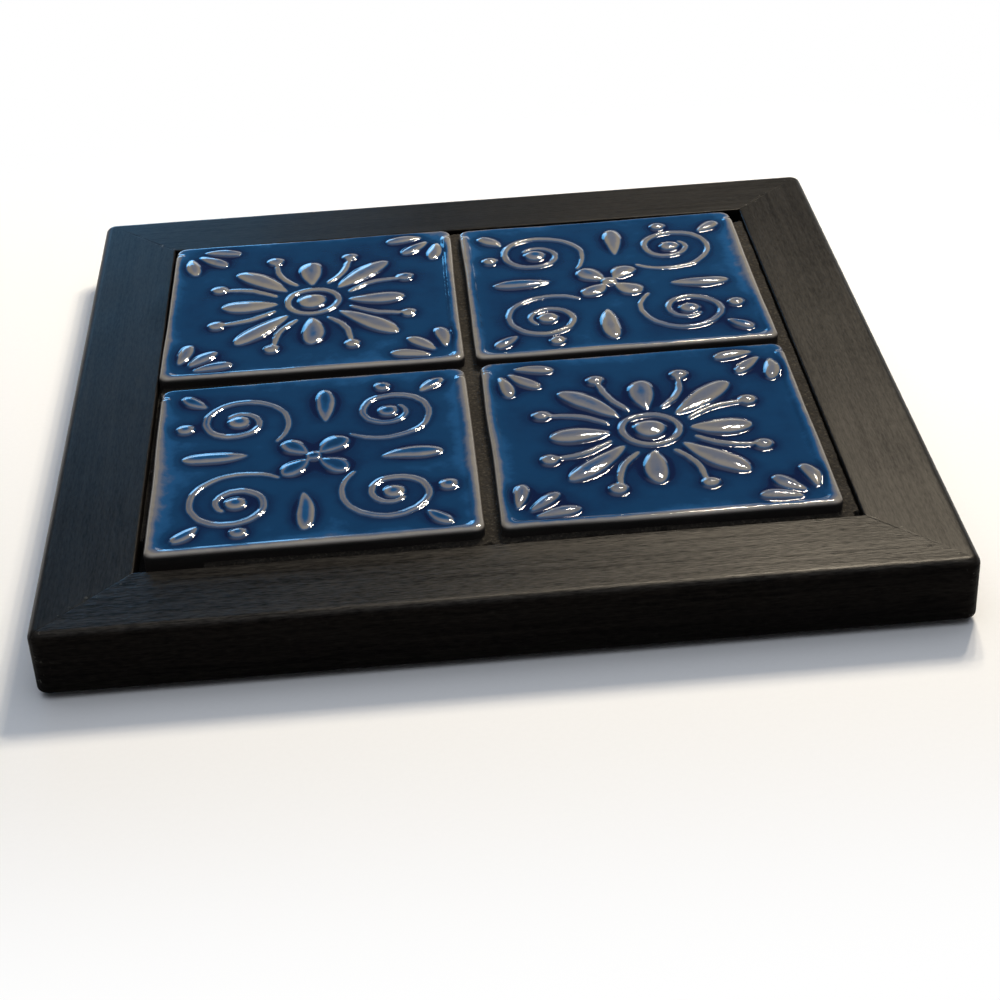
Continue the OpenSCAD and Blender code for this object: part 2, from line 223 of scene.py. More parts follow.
class TrivetTileSettings(bpy.types.PropertyGroup):
    """Sizes and colours of the glazed tiles."""

    mesh_step: FloatProperty(
        name="Mesh step", description="Distance between the points of a tile's face",
        default=0.33 * MM, min=0.1 * MM, unit="LENGTH")
    height: FloatProperty(
        name="Height", description="From a tile's back to the crest of its rim",
        default=8 * MM, unit="LENGTH")
    field_drop: FloatProperty(
        name="Field drop", description="Depth of the field below the crest of the rim",
        default=0.8 * MM, unit="LENGTH")
    rim_width: FloatProperty(
        name="Rim width", description="From the tile's edge to the flat field",
        default=3.4 * MM, unit="LENGTH")
    rim_round: FloatProperty(
        name="Rim round-over", description="Radius of the rim's outer edge",
        default=1.0 * MM, unit="LENGTH")
    rim_crest: FloatProperty(
        name="Rim crest", description="From the tile's edge to the top of the rim",
        default=1.6 * MM, unit="LENGTH")
    rim_dome: FloatProperty(
        name="Rim dome", description="Radius of the rim's soft top",
        default=7 * MM, unit="LENGTH")
    lobe_height: FloatProperty(
        name="Lobe height", description="Height of petals, drops and beads above the field",
        default=1.05 * MM, unit="LENGTH")
    boss_height: FloatProperty(
        name="Boss height", description="Height of the rosette's boss above the field",
        default=1.2 * MM, unit="LENGTH")
    ridge_height: FloatProperty(
        name="Ridge height", description="Height of stems and scrolls above the field",
        default=0.7 * MM, unit="LENGTH")
    ridge_width: FloatProperty(
        name="Ridge width", description="Width of stems and scrolls",
        default=1.9 * MM, unit="LENGTH")
    edge_wave: FloatProperty(
        name="Edge wave", description="How far a handmade edge strays from straight",
        default=0.22 * MM, unit="LENGTH")
    softening: FloatProperty(
        name="Softening", description="How far the glaze rounds the relief",
        default=0.3 * MM, unit="LENGTH")
    thin_reach: FloatProperty(
        name="Thin reach", description="How softly the glaze thins towards a crest",
        default=0.35 * MM, unit="LENGTH")
    pool_reach: FloatProperty(
        name="Pool reach", description="How far from the relief the glaze runs together",
        default=1.9 * MM, unit="LENGTH")
    rim_sink: FloatProperty(
        name="Rim sink", description="How much lower the rim is along the tile's back edge",
        default=0.7 * MM, unit="LENGTH")
    rim_fade: FloatProperty(
        name="Rim fade", description="How far the rim's pale line fades into the field",
        default=1.15 * MM, unit="LENGTH")
    veil: FloatProperty(
        name="Veil", description="How much glaze stays on top of the relief", default=0.29)
    pooling: FloatProperty(
        name="Pooling", description="How much deeper the glaze is beside the relief", default=1.7)
    clay: FloatVectorProperty(
        name="Clay", description="Colour of the bare clay on the tile's sides",
        default=(0.2, 0.15, 0.11), size=3, subtype="COLOR")
    thin_glaze: FloatVectorProperty(
        name="Thin glaze", description="Colour where the glaze has run off a crest",
        default=(0.258, 0.243, 0.222), size=3, subtype="COLOR")
    field_glaze: FloatVectorProperty(
        name="Field glaze", description="Colour of the glaze over the flat field",
        default=(0.0052, 0.041, 0.117), size=3, subtype="COLOR")
    deep_glaze: FloatVectorProperty(
        name="Deep glaze", description="Colour where the glaze has pooled",
        default=(0.003, 0.011, 0.05), size=3, subtype="COLOR")
    seed: IntProperty(
        name="Seed", description="Start of the random numbers of the handwork", default=11)


class TrivetFrameSettings(bpy.types.PropertyGroup):
    """Sizes and colours of the frame's rails."""

    corner_radius: FloatProperty(
        name="Corner radius", description="Radius of the frame's outer corners in plan",
        default=3 * MM, unit="LENGTH")
    top_edge: FloatProperty(
        name="Top edge", description="Radius of the outer top edge", default=2.2 * MM, unit="LENGTH")
    foot_edge: FloatProperty(
        name="Foot edge", description="Radius of the outer bottom edge", default=0.8 * MM, unit="LENGTH")
    lip_edge: FloatProperty(
        name="Lip edge", description="Radius of the top edge along the opening",
        default=0.5 * MM, unit="LENGTH")
    rebate_gap: FloatProperty(
        name="Rebate gap", description="Clearance round the base panel", default=0.3 * MM, unit="LENGTH")
    mitre_ease: FloatProperty(
        name="Mitre ease", description="How far each side of a mitre is eased back",
        default=0.045 * MM, unit="LENGTH")
    undulation: FloatProperty(
        name="Undulation", description="Unevenness of the planed faces", default=0.04 * MM, unit="LENGTH")
    stain: FloatVectorProperty(
        name="Stain", description="Colour of the stained wood",
        default=(0.003, 0.0027, 0.0026), size=3, subtype="COLOR")
    grain: FloatVectorProperty(
        name="Grain", description="Colour of the lighter streaks in the grain",
        default=(0.0085, 0.0073, 0.006), size=3, subtype="COLOR")
    worn: FloatVectorProperty(
        name="Worn edge", description="Colour of the wood where the stain is rubbed away",
        default=(0.11, 0.09, 0.07), size=3, subtype="COLOR")


class TrivetGroutSettings(bpy.types.PropertyGroup):
    """Sizes and colours of the grout."""

    mesh_step: FloatProperty(
        name="Mesh step", description="Distance between the points of the grout's face",
        default=0.3 * MM, min=0.1 * MM, unit="LENGTH")
    slump: FloatProperty(
        name="Slump", description="How far the grout sinks between two edges",
        default=0.5 * MM, unit="LENGTH")
    grit: FloatProperty(
        name="Grit", description="Height of the sand grains", default=0.13 * MM, unit="LENGTH")
    crack_width: FloatProperty(
        name="Crack width", description="Width of the shrinkage crack along the frame",
        default=0.36 * MM, unit="LENGTH")
    crack_depth: FloatProperty(
        name="Crack depth", description="Depth of that crack", default=1.2 * MM, unit="LENGTH")
    broken_depth: FloatProperty(
        name="Broken depth", description="Depth of the places where grout has broken away",
        default=3.6 * MM, unit="LENGTH")
    colour: FloatVectorProperty(
        name="Colour", description="Colour of the grout", default=(0.026, 0.021, 0.015),
        size=3, subtype="COLOR")
    # Painted shade in the hollows of the grit's bump
    dark: FloatVectorProperty(
        name="Dark", description="Colour of the hollows between the grains",
        default=(0.011, 0.009, 0.007), size=3, subtype="COLOR")
    seed: IntProperty(name="Seed", description="Start of the random numbers", default=31)


class TrivetBaseSettings(bpy.types.PropertyGroup):
    """Colours of the pieces underneath."""

    panel: FloatVectorProperty(
        name="Panel", description="Colour of the base panel", default=(0.36, 0.24, 0.14),
        size=3, subtype="COLOR")
    panel_grain: FloatVectorProperty(
        name="Panel grain", description="Colour of the base panel's grain",
        default=(0.21, 0.12, 0.06), size=3, subtype="COLOR")
    adhesive: FloatVectorProperty(
        name="Adhesive", description="Colour of the tile adhesive", default=(0.62, 0.6, 0.55),
        size=3, subtype="COLOR")
    felt: FloatVectorProperty(
        name="Felt", description="Colour of the felt pads", default=(0.035, 0.034, 0.036),
        size=3, subtype="COLOR")
    pad_edge: FloatProperty(
        name="Pad edge", description="Radius of a felt pad's edges", default=0.35 * MM, unit="LENGTH")
    seed: IntProperty(name="Seed", description="Start of the random numbers", default=51)


class TrivetStageSettings(bpy.types.PropertyGroup):
    """The floor, the lamps and the camera."""

    floor_radius: FloatProperty(
        name="Floor radius", description="Distance at which the floor turns up", default=2.6, unit="LENGTH")
    cove_height: FloatProperty(
        name="Cove height", description="Height of the floor's turned-up edge", default=0.46, unit="LENGTH")
    floor: FloatVectorProperty(
        name="Floor", description="Colour of the floor",
        default=(0.97, 0.97, 0.97), size=3, subtype="COLOR")
    room: FloatVectorProperty(
        name="Room", description="Colour of the room above the floor", default=(0.045, 0.045, 0.047),
        size=3, subtype="COLOR")
    ceiling: FloatVectorProperty(
        name="Ceiling", description="Colour of the light that falls from straight above",
        default=(0.97, 1.03, 1.13), size=3, subtype="COLOR", max=2.0)
    lens: FloatProperty(
        name="Lens", description="Focal length of the camera on a 36 mm sensor, in millimetres",
        default=74.689)


SETTINGS = {
    "trivet_tiles": TrivetTileSettings,
    "trivet_frame": TrivetFrameSettings,
    "trivet_grout": TrivetGroutSettings,
    "trivet_base": TrivetBaseSettings,
    "trivet_stage": TrivetStageSettings,
}


# Shader helpers


def empty_tree(owner):
    """The cleared shader tree of a new material or world."""
    owner.use_nodes = True
    owner.node_tree.nodes.clear()
    return owner.node_tree


def feed(tree, node, inputs):
    """Fills or links a node's inputs."""
    for socket, value in dict(inputs).items():
        if isinstance(value, bpy.types.NodeSocket):
            tree.links.new(value, node.inputs[socket])
        else:
            node.inputs[socket].default_value = value


def shader_node(tree, kind, inputs=(), **choices):
    """Adds a shader node, makes its choices, and fills or links its inputs."""
    made = tree.nodes.new(kind)
    for key, value in choices.items():
        setattr(made, key, value)
    feed(tree, made, inputs)
    return made


def opaque(colour):
    """The colour with a full fourth channel."""
    return (*colour, 1.0)


def scaled(colour, share):
    """The colour made lighter or darker by a share."""
    return [share * channel for channel in colour]


def between(first, second, share):
    """The colour that lies a share of the way from the first to the second."""
    return [(1 - share) * a + share * b for a, b in zip(first, second)]


# Sockets of the mix node that takes colours
MIX_SHARE, MIX_FIRST, MIX_SECOND, MIX_RESULT = 0, 6, 7, 2


def mixed(tree, share, first, second):
    """Two colours mixed by a share."""
    first, second = (
        colour if isinstance(colour, bpy.types.NodeSocket) else opaque(colour)
        for colour in (first, second))
    inputs = {MIX_SHARE: share, MIX_FIRST: first, MIX_SECOND: second}
    return shader_node(tree, "ShaderNodeMix", inputs, data_type="RGBA").outputs[MIX_RESULT]


def mixed_value(tree, share, first, second):
    """Two values mixed by a share."""
    inputs = {"Factor": share, "A": first, "B": second}
    return shader_node(tree, "ShaderNodeMix", inputs).outputs[0]


def one_or_two(first, second):
    """The inputs of a sum on one or two values."""
    return {0: first} if second is None else {0: first, 1: second}


def sums(tree, operation, first, second=None, clamp=False):
    """The result of one sum on one or two values."""
    inputs = one_or_two(first, second)
    return shader_node(tree, "ShaderNodeMath", inputs, operation=operation, use_clamp=clamp).outputs[0]


def vector_sums(tree, operation, first, second=None, output=0):
    """The result of one sum on one or two vectors."""
    inputs = one_or_two(first, second)
    return shader_node(tree, "ShaderNodeVectorMath", inputs, operation=operation).outputs[output]


def fitted(tree, value, low, high, to_low=0.0, to_high=1.0, curve="LINEAR"):
    """A value moved from one range to another, and held there."""
    inputs = {"Value": value, "From Min": low, "From Max": high, "To Min": to_low, "To Max": to_high}
    return shader_node(tree, "ShaderNodeMapRange", inputs, interpolation_type=curve).outputs["Result"]


def ramp(tree, share, stops):
    """A colour read off a row of stops, each a place from 0 to 1 and a colour."""
    made = shader_node(tree, "ShaderNodeValToRGB", {"Fac": share})
    line = made.color_ramp
    line.interpolation = "EASE"
    while len(line.elements) < len(stops):
        line.elements.new(0.5)
    for element, (place, colour) in zip(line.elements, stops):
        element.position = place
        element.color = opaque(colour)
    return made.outputs["Color"]


def stretched(tree, place, scale):
    """Coordinates scaled by a different amount along each axis."""
    return vector_sums(tree, "MULTIPLY", place, scale)


def cloud(tree, place, scale, detail=2.0, roughness=0.5):
    """Cloudy random values about 0.5."""
    inputs = {"Vector": place, "Scale": scale, "Detail": detail, "Roughness": roughness}
    return shader_node(tree, "ShaderNodeTexNoise", inputs).outputs["Fac"]


def stored(tree, name, output="Fac"):
    """A value that the mesh stores at each point."""
    return shader_node(tree, "ShaderNodeAttribute", attribute_name=name).outputs[output]


def own_place(tree):
    """Coordinates on the piece, in metres."""
    return shader_node(tree, "ShaderNodeTexCoord").outputs["Object"]


def new_group(name, inputs, outputs):
    """An empty node group with its sockets, each given as a name, a kind and, for an input, a value."""
    group = bpy.data.node_groups.new(name, "ShaderNodeTree")
    for label, kind, value in inputs:
        socket = group.interface.new_socket(label, in_out="INPUT", socket_type=kind)
        if value is not None:
            socket.default_value = value
    for label, kind in outputs:
        group.interface.new_socket(label, in_out="OUTPUT", socket_type=kind)
    given = group.nodes.new("NodeGroupInput").outputs
    result = group.nodes.new("NodeGroupOutput").inputs
    return group, given, result


def placed(tree, group, inputs):
    """A node group placed in a material, with its own values."""
    return shader_node(tree, "ShaderNodeGroup", inputs, node_tree=group).outputs


def once(name, build):
    """The node group of that name, built when it is first asked for."""
    return bpy.data.node_groups.get(name) or build(name)


# The wood's patterns, as features per metre along, across and up through the grain
STREAKS, HAIR_STREAKS, BANDS = (22.0, 900.0, 900.0), (400.0, 2500.0, 2500.0), (5.0, 130.0, 130.0)
PORES, SWAYS = (260.0, 3800.0, 3800.0), (9.0, 45.0, 45.0)
# How far the grain sways sideways and upwards, in metres
SWAY_REACH = (0.0, 0.0016, 0.0016)
# Share of the hair streaks, and how deep a pore is beside a streak
HAIR_SHARE, PORE_DEPTH = 0.62, 0.5
# Colour at the bottom of the wood's pores
PORE = (0.002, 0.0018, 0.0016)
# How far above its threshold the noise stands where a speck is full
SPECK_SOFTNESS = 0.06


def build_grain(name):
    """Wood grain: streaks, short pores and slow bands along X of the place."""
    group, given, result = new_group(
        name,
        [("Place", "NodeSocketVector", None), ("Dark", "NodeSocketColor", (0, 0, 0, 1)),
         ("Light", "NodeSocketColor", (1, 1, 1, 1)), ("Pores", "NodeSocketFloat", 0.5)],
        [("Colour", "NodeSocketColor"), ("Relief", "NodeSocketFloat"), ("Streaks", "NodeSocketFloat")],
    )
    place = given["Place"]
    sway = stretched(group, place, SWAYS)
    swaying = shader_node(group, "ShaderNodeTexNoise", {"Vector": sway, "Scale": 1.0, "Detail": 1.0})
    drift = stretched(group, swaying.outputs["Color"], SWAY_REACH)
    bent = vector_sums(group, "ADD", place, drift)
    broad = cloud(group, stretched(group, bent, STREAKS), 1.0, 2.0, 0.6)
    fine = cloud(group, stretched(group, bent, HAIR_STREAKS), 1.0, 2.0, 0.6)
    bands = cloud(group, stretched(group, bent, BANDS), 1.0, 2.0)
    streaks = mixed_value(group, HAIR_SHARE, broad, fine)
    pores = cloud(group, stretched(group, bent, PORES), 1.0, 1.0)
    pore_mask = sums(group, "MULTIPLY", fitted(group, pores, 0.62, 0.74), given["Pores"])
    light = fitted(group, streaks, 0.38, 0.64)
    light = sums(group, "MULTIPLY", light, fitted(group, bands, 0.3, 0.7, 0.35, 1.0))
    colour = mixed(group, light, given["Dark"], given["Light"])
    group.links.new(mixed(group, pore_mask, colour, PORE), result["Colour"])
    relief = sums(group, "SUBTRACT", streaks, sums(group, "MULTIPLY", pore_mask, PORE_DEPTH))
    group.links.new(relief, result["Relief"])
    group.links.new(streaks, result["Streaks"])
    return group


def build_speckle(name):
    """Small scattered specks."""
    group, given, result = new_group(
        name,
        [("Place", "NodeSocketVector", None), ("Scale", "NodeSocketFloat", 1000.0),
         ("Rarity", "NodeSocketFloat", 0.7)],
        [("Mask", "NodeSocketFloat"), ("Raw", "NodeSocketFloat")],
    )
    raw = cloud(group, given["Place"], given["Scale"], 2.0, 0.6)
    top = sums(group, "ADD", given["Rarity"], SPECK_SOFTNESS)
    group.links.new(fitted(group, raw, given["Rarity"], top), result["Mask"])
    group.links.new(raw, result["Raw"])
    return group


def build_edge_wear(name):
    """Where a rubbed edge has lost its finish: an edge value broken up by patches."""
    group, given, result = new_group(
        name,
        [("Place", "NodeSocketVector", None), ("Edge", "NodeSocketFloat", 0.0),
         ("Scale", "NodeSocketFloat", 200.0), ("Amount", "NodeSocketFloat", 0.5)],
        [("Mask", "NodeSocketFloat")],
    )
    patches = cloud(group, given["Place"], given["Scale"], 4.0, 0.65)
    worn = sums(group, "MULTIPLY", fitted(group, patches, 0.42, 0.66), given["Edge"])
    group.links.new(sums(group, "MULTIPLY", worn, given["Amount"], True), result["Mask"])
    return group


def grain_group():
    """Wood grain, for the rails and the panel."""
    return once("wood_grain", build_grain)


def speckle_group():
    """Specks, for pinholes, dust and sand."""
    return once("speckle", build_speckle)


def edge_wear_group():
    """Rubbed edges, for the tiles and the rails."""
    return once("edge_wear", build_edge_wear)


def new_material(name, **plain):
    """A material with its shader, whose plain values are set on the shader's own sockets."""
    material = bpy.data.materials.new(name)
    tree = empty_tree(material)
    plain = {socket.replace("_", " "): value for socket, value in plain.items()}
    shader = shader_node(tree, "ShaderNodeBsdfPrincipled", plain)
    shader_node(tree, "ShaderNodeOutputMaterial", {"Surface": shader.outputs[0]})
    return material, tree, shader


def finish_with(tree, shader, colour, roughness, relief, depth, others=()):
    """Links what varies over a finish, and its fine relief as a bump of the given depth in metres."""
    bump = shader_node(tree, "ShaderNodeBump", {"Height": relief, "Distance": depth, "Strength": 1.0})
    varying = {"Base Color": colour, "Roughness": roughness, "Normal": bump.outputs[0]}
    feed(tree, shader, {**varying, **dict(others)})


# Materials

# Scales of the random patterns on each material, in features per metre
MOTTLE, GLAZE_DRIFT, PINHOLES, CLAY_GRAINS, GLOSS_SPOTS, ORANGE_PEEL = 260, 38, 2100, 700, 900, 420
TILE_WEAR, RAIL_WEAR, RAIL_DUST, RAIL_DRIFT, PANEL_SHADES = 420, 160, 720, 28, 30
GROUT_SAND, GROUT_STAINS, TROWEL_LUMPS, TARNISHES, FIBRES, PAPER_TOOTH = 1500, 90, 500, 350, 1700, 900
# How much of a rubbed edge is bare
EDGE_BARE = 0.12
# How far the panel's grain, the steel's scratches and the felt's fibres are stretched along each axis
PANEL_STRETCH, STEEL_STRETCH, FELT_STRETCH = (0.8, 0.55, 0.55), (300.0, 3000.0, 300.0), (1.0, 1.7, 1.0)
# Depths of the fine relief
GLAZE_BUMP, RAIL_BUMP, PANEL_BUMP, GROUT_BUMP = 0.03 * MM, 0.08 * MM, 0.05 * MM, 0.2 * MM
ADHESIVE_BUMP, STEEL_BUMP, FELT_BUMP = 0.1 * MM, 0.01 * MM, 0.15 * MM
# Glaze colours beside those in the settings: over a crest, and at its brightest on the way down
VEIL_TINT, BRIGHT_GLAZE = (0.02, 0.06, 0.16), (0.012, 0.075, 0.2)
# Colour of pinholes, and the near-black of the tiles' sides: partly grout residue, partly painted shade
PINHOLE, RESIDUE_AND_SHADE = (0.03, 0.05, 0.09), (0.012, 0.01, 0.009)
POLISH_TINT, DUST = (1.0, 0.94, 0.85), (0.2, 0.19, 0.17)
# Colour of sand grains, and the painted shade at the bottom of the grout's cracks and broken places
SAND, CRACK_PAINTED_SHADE = (0.075, 0.065, 0.048), (0.004, 0.0035, 0.003)
STEEL, TARNISH = (0.56, 0.55, 0.53), (0.3, 0.27, 0.23)
# Distance from the trivet's sides at which the floor is plain white
WHITE_START = 0.1


def glazed_tile_material(tiles):
    """Blue glaze over pale clay: thin on crests, deep where it has pooled, bare on the sides."""
    material, tree, shader = new_material("blue_glaze", IOR=1.5)
    place = own_place(tree)
    mottle = fitted(tree, cloud(tree, place, MOTTLE, 3.0, 0.6), 0.25, 0.75, -0.05, 0.05)
    drift = fitted(tree, cloud(tree, place, GLAZE_DRIFT, 1.0), 0.3, 0.7, -0.1, 0.09)
    edge = {"Place": place, "Edge": stored(tree, "edge"), "Scale": TILE_WEAR, "Amount": EDGE_BARE}
    wear = placed(tree, edge_wear_group(), edge)["Mask"]
    depth = sums(tree, "ADD", sums(tree, "ADD", stored(tree, "glaze"), mottle), drift)
    depth = sums(tree, "SUBTRACT", depth, wear, True)
    thin, field, deep = tiles.thin_glaze, tiles.field_glaze, tiles.deep_glaze
    colour = ramp(tree, depth, [
        (0.0, thin), (0.13, scaled(thin, 0.86)), (0.3, between(thin, VEIL_TINT, 0.55)),
        (0.43, BRIGHT_GLAZE), (0.56, field), (0.78, between(field, deep, 0.5)), (1.0, deep),
    ])
    specks = {"Place": place, "Scale": PINHOLES, "Rarity": 0.735}
    pinholes = placed(tree, speckle_group(), specks)["Mask"]
    colour = mixed(tree, sums(tree, "MULTIPLY", pinholes, 0.5), colour, PINHOLE)
    bare = stored(tree, "bare")
    clay = mixed(tree, cloud(tree, place, CLAY_GRAINS, 3.0), scaled(tiles.clay, 0.6), tiles.clay)
    # Grout residue and painted shade darken the clay almost to black where the mesh stores them
    clay = mixed(tree, stored(tree, "residue_and_shade"), clay, RESIDUE_AND_SHADE)
    colour = mixed(tree, bare, colour, clay)
    gloss = fitted(tree, cloud(tree, place, GLOSS_SPOTS), 0.3, 0.7, 0.05, 0.08)
    rough = sums(tree, "ADD", gloss, sums(tree, "MULTIPLY", bare, 0.7), True)
    finish_with(tree, shader, colour, rough, cloud(tree, place, ORANGE_PEEL, 3.0), GLAZE_BUMP)
    return material


def stained_wood_material(rails):
    """Black-stained open-grained wood with a satin finish, rubbed along its edges."""
    material, tree, shader = new_material("ebonised_wood", Specular_Tint=opaque(POLISH_TINT))
    here = own_place(tree)
    wood = placed(tree, grain_group(), {
        "Place": stored(tree, "grain", "Vector"), "Dark": opaque(rails.stain),
        "Light": opaque(rails.grain), "Pores": 0.35})
    edge = {"Place": here, "Edge": stored(tree, "edge"), "Scale": RAIL_WEAR, "Amount": EDGE_BARE}
    worn = placed(tree, edge_wear_group(), edge)["Mask"]
    dust = placed(tree, speckle_group(), {"Place": here, "Scale": RAIL_DUST, "Rarity": 0.64})["Mask"]
    dusty = sums(tree, "MULTIPLY", dust, fitted(tree, stored(tree, "mitre"), 0.0, 1.0, 0.01, 0.6))
    colour = mixed(tree, worn, wood["Colour"], rails.worn)
    colour = mixed(tree, dusty, colour, DUST)
    figure = stored(tree, "figure")
    drift = fitted(tree, cloud(tree, here, RAIL_DRIFT), 0.3, 0.7, -0.03, 0.03)
    rough = sums(tree, "ADD", fitted(tree, wood["Streaks"], 0.35, 0.65, 0.37, 0.43), drift)
    shine = fitted(tree, stored(tree, "polish"), 0.0, 2.0, 0.018, 0.353)
    streaky = sums(tree, "MULTIPLY", fitted(tree, wood["Streaks"], 0.35, 0.65, -0.65, 0.65), figure)
    shine = sums(tree, "MULTIPLY", shine, sums(tree, "ADD", streaky, 1.0))
    relief = sums(tree, "MULTIPLY", wood["Relief"], figure)
    finish_with(tree, shader, colour, rough, relief, RAIL_BUMP, {"Specular IOR Level": shine})
    return material


def panel_material(base):
    """Plain plywood with a soft grain."""
    material, tree, shader = new_material("panel_wood", Specular_IOR_Level=0.3)
    place = own_place(tree)
    wood = placed(tree, grain_group(), {
        "Place": stretched(tree, place, PANEL_STRETCH), "Dark": opaque(base.panel_grain),
        "Light": opaque(base.panel), "Pores": 0.25})
    shades = fitted(tree, cloud(tree, place, PANEL_SHADES), 0.4, 0.7)
    colour = mixed(tree, shades, wood["Colour"], scaled(base.panel, 0.85))
    rough = fitted(tree, wood["Streaks"], 0.3, 0.7, 0.6, 0.75)
    finish_with(tree, shader, colour, rough, wood["Relief"], PANEL_BUMP)
    return material


def grout_material(grout):
    """Dark sanded grout, with painted shade in its cracks and broken places, and between its grains."""
    material, tree, shader = new_material("dark_grout", Specular_IOR_Level=0.25)
    place = own_place(tree)
    sand = placed(tree, speckle_group(), {"Place": place, "Scale": GROUT_SAND, "Rarity": 0.6})
    stains = cloud(tree, place, GROUT_STAINS, 3.0)
    stained = fitted(tree, stains, 0.45, 0.75, 0.0, 0.6)
    # Painted shade: the low places of the grit's bump take the dark colour
    colour = mixed(tree, fitted(tree, sand["Raw"], 0.35, 0.62), grout.dark, grout.colour)
    colour = mixed(tree, stained, colour, scaled(grout.colour, 0.55))
    colour = mixed(tree, sums(tree, "MULTIPLY", sand["Mask"], 0.5), colour, SAND)
    # Painted shade: the deeper a point lies in a crack or broken place, the nearer to black it is
    colour = mixed(tree, stored(tree, "depth"), colour, CRACK_PAINTED_SHADE)
    rough = fitted(tree, stains, 0.3, 0.7, 0.82, 0.95)
    finish_with(tree, shader, colour, rough, sand["Raw"], GROUT_BUMP)
    return material


def adhesive_material(base):
    """Set tile adhesive with trowel marks."""
    material, tree, shader = new_material("tile_adhesive", Specular_IOR_Level=0.3)
    lumps = cloud(tree, own_place(tree), TROWEL_LUMPS, 4.0)
    colour = mixed(tree, lumps, scaled(base.adhesive, 0.75), base.adhesive)
    rough = fitted(tree, lumps, 0.3, 0.7, 0.75, 0.9)
    finish_with(tree, shader, colour, rough, lumps, ADHESIVE_BUMP)
    return material


def steel_material():
    """Bright drawn steel with faint scratches and tarnish."""
    material, tree, shader = new_material("steel", Metallic=1.0)
    place = own_place(tree)
    scratches = cloud(tree, stretched(tree, place, STEEL_STRETCH), 1.0, 3.0)
    tarnish = fitted(tree, cloud(tree, place, TARNISHES, 3.0), 0.4, 0.7)
    rough = fitted(tree, scratches, 0.3, 0.7, 0.25, 0.45)
    finish_with(tree, shader, mixed(tree, tarnish, STEEL, TARNISH), rough, scratches, STEEL_BUMP)
    return material


def felt_material(base):
    """Pressed felt with matted fibres."""
    material, tree, shader = new_material(
        "felt", Specular_IOR_Level=0.1, Sheen_Weight=0.25, Sheen_Roughness=0.5)
    fibres = cloud(tree, stretched(tree, own_place(tree), FELT_STRETCH), FIBRES, 4.0, 0.7)
    matted = fitted(tree, fibres, 0.35, 0.7)
    colour = mixed(tree, matted, scaled(base.felt, 0.6), scaled(base.felt, 1.7))
    rough = fitted(tree, fibres, 0.3, 0.7, 0.88, 1.0)
    finish_with(tree, shader, colour, rough, fibres, FELT_BUMP)
    return material


def floor_material(stage):
    """Matt white paper that a camera, a mirror or a glass sees as plain white away from the trivet."""
    material = bpy.data.materials.new("floor_paper")
    tree = empty_tree(material)
    place = own_place(tree)
    tooth = fitted(tree, cloud(tree, place, PAPER_TOOTH), 0.3, 0.7)
    colour = mixed(tree, tooth, scaled(stage.floor, 0.985), stage.floor)
    paper = shader_node(tree, "ShaderNodeBsdfDiffuse", {"Color": colour})
    white = shader_node(tree, "ShaderNodeEmission", {"Color": (1, 1, 1, 1), "Strength": 1.0})
    path = shader_node(tree, "ShaderNodeLightPath").outputs
    seen = sums(tree, "ADD", path["Is Camera Ray"], path["Is Glossy Ray"])
    seen = sums(tree, "ADD", seen, path["Is Transmission Ray"], True)
    # How far a place on the floor lies from the trivet's sides
    aside = vector_sums(tree, "ABSOLUTE", place)
    aside = vector_sums(tree, "SUBTRACT", aside, (OUTSIDE, OUTSIDE, 0))
    aside = vector_sums(tree, "MAXIMUM", aside, (0, 0, 0))
    away = vector_sums(tree, "LENGTH", aside, output="Value")
    away = fitted(tree, away, 0.0, WHITE_START, curve="SMOOTHSTEP")
    share = sums(tree, "MULTIPLY", seen, away)
    both = shader_node(tree, "ShaderNodeMixShader", {0: share, 1: paper.outputs[0], 2: white.outputs[0]})
    shader_node(tree, "ShaderNodeOutputMaterial", {"Surface": both.outputs[0]})
    return material


# The relief on the tiles: places and sizes are shares of half the field's width

BOSS_SHARE, RING_SHARE, BEAD_SHARE = 0.125, 0.195, 0.07
# Start, length and width of each kind of lobe
LONG_PETAL, SHORT_PETAL = (0.26, 0.58, 0.2), (0.26, 0.42, 0.2)
CLOVER_LOBE, CORNER_DROP = (0.05, 0.25, 0.19), (1.08, 0.24, 0.125)
SIDE_DROP, FAN_DROP = (0.44, 0.46, 0.15), (0.13, 0.3, 0.125)
# Start, end and bend of a stem, and degrees between a stem and the petal beside it
STEM_SHARES, STEM_SPREAD, STEM_STEPS = (0.31, 0.74, 0.05), 22.5, 14
# Degrees between the drops of a fan
FAN_SPREAD = 34
# A scroll's middle, both ways, its outer and inner radius, and the bead in its eye
SCROLL_PLACE, SCROLL_OUTER, SCROLL_INNER, SCROLL_EYE = 0.53, 0.4, 0.11, 0.09
# Degrees that a scroll winds through
SCROLL_TURN, SCROLL_STEPS = 540, 60
SIDE_DROP_SHIFT, SIDE_BEAD_PLACE = 0.08, (0.89, -0.49)
# Width and height of a ridge at its ends, as a share of those at its middle
RIDGE_END = 0.5
# Share of a form's height that is a low dome; the rest is a plateau whose edge falls by this power
DOME_SHARE, SHOULDER_POWER = 0.85, 10
# How pointed a lobe's start and how blunt its end are
TIP_POWER, END_POWER = 0.8, 0.5
LOBE_FULLEST = TIP_POWER / (TIP_POWER + END_POWER)
# How a lobe's height and its crest follow its width along its length
HEIGHT_POWER, CREST_POWER = 0.9, 0.3
# How firmly forms keep apart where they meet: the higher, the crisper the line between them
MELT_POWER = 5
# How much the hand varies sizes, heights, turns in degrees, places and bends
SIZE_SPREAD, LENGTH_SPREAD, HEIGHT_SPREAD, BOSS_SPREAD = 0.07, 0.05, 0.06, 0.05
TURN_SPREAD, SCROLL_TURN_SPREAD, SCROLL_SPREAD, SWAY_SPREAD = 2.5, 4, 0.03, 0.3
PLACE_SPREAD, BEND_SPREAD, LINE_SPREAD = 0.006, 0.018, 0.1 * MM


def domed(t):
    """Height of a form's section, by the share of the way from its middle to its edge."""
    return DOME_SHARE * (1 - t ** 2) + (1 - DOME_SHARE) * (1 - t ** SHOULDER_POWER)


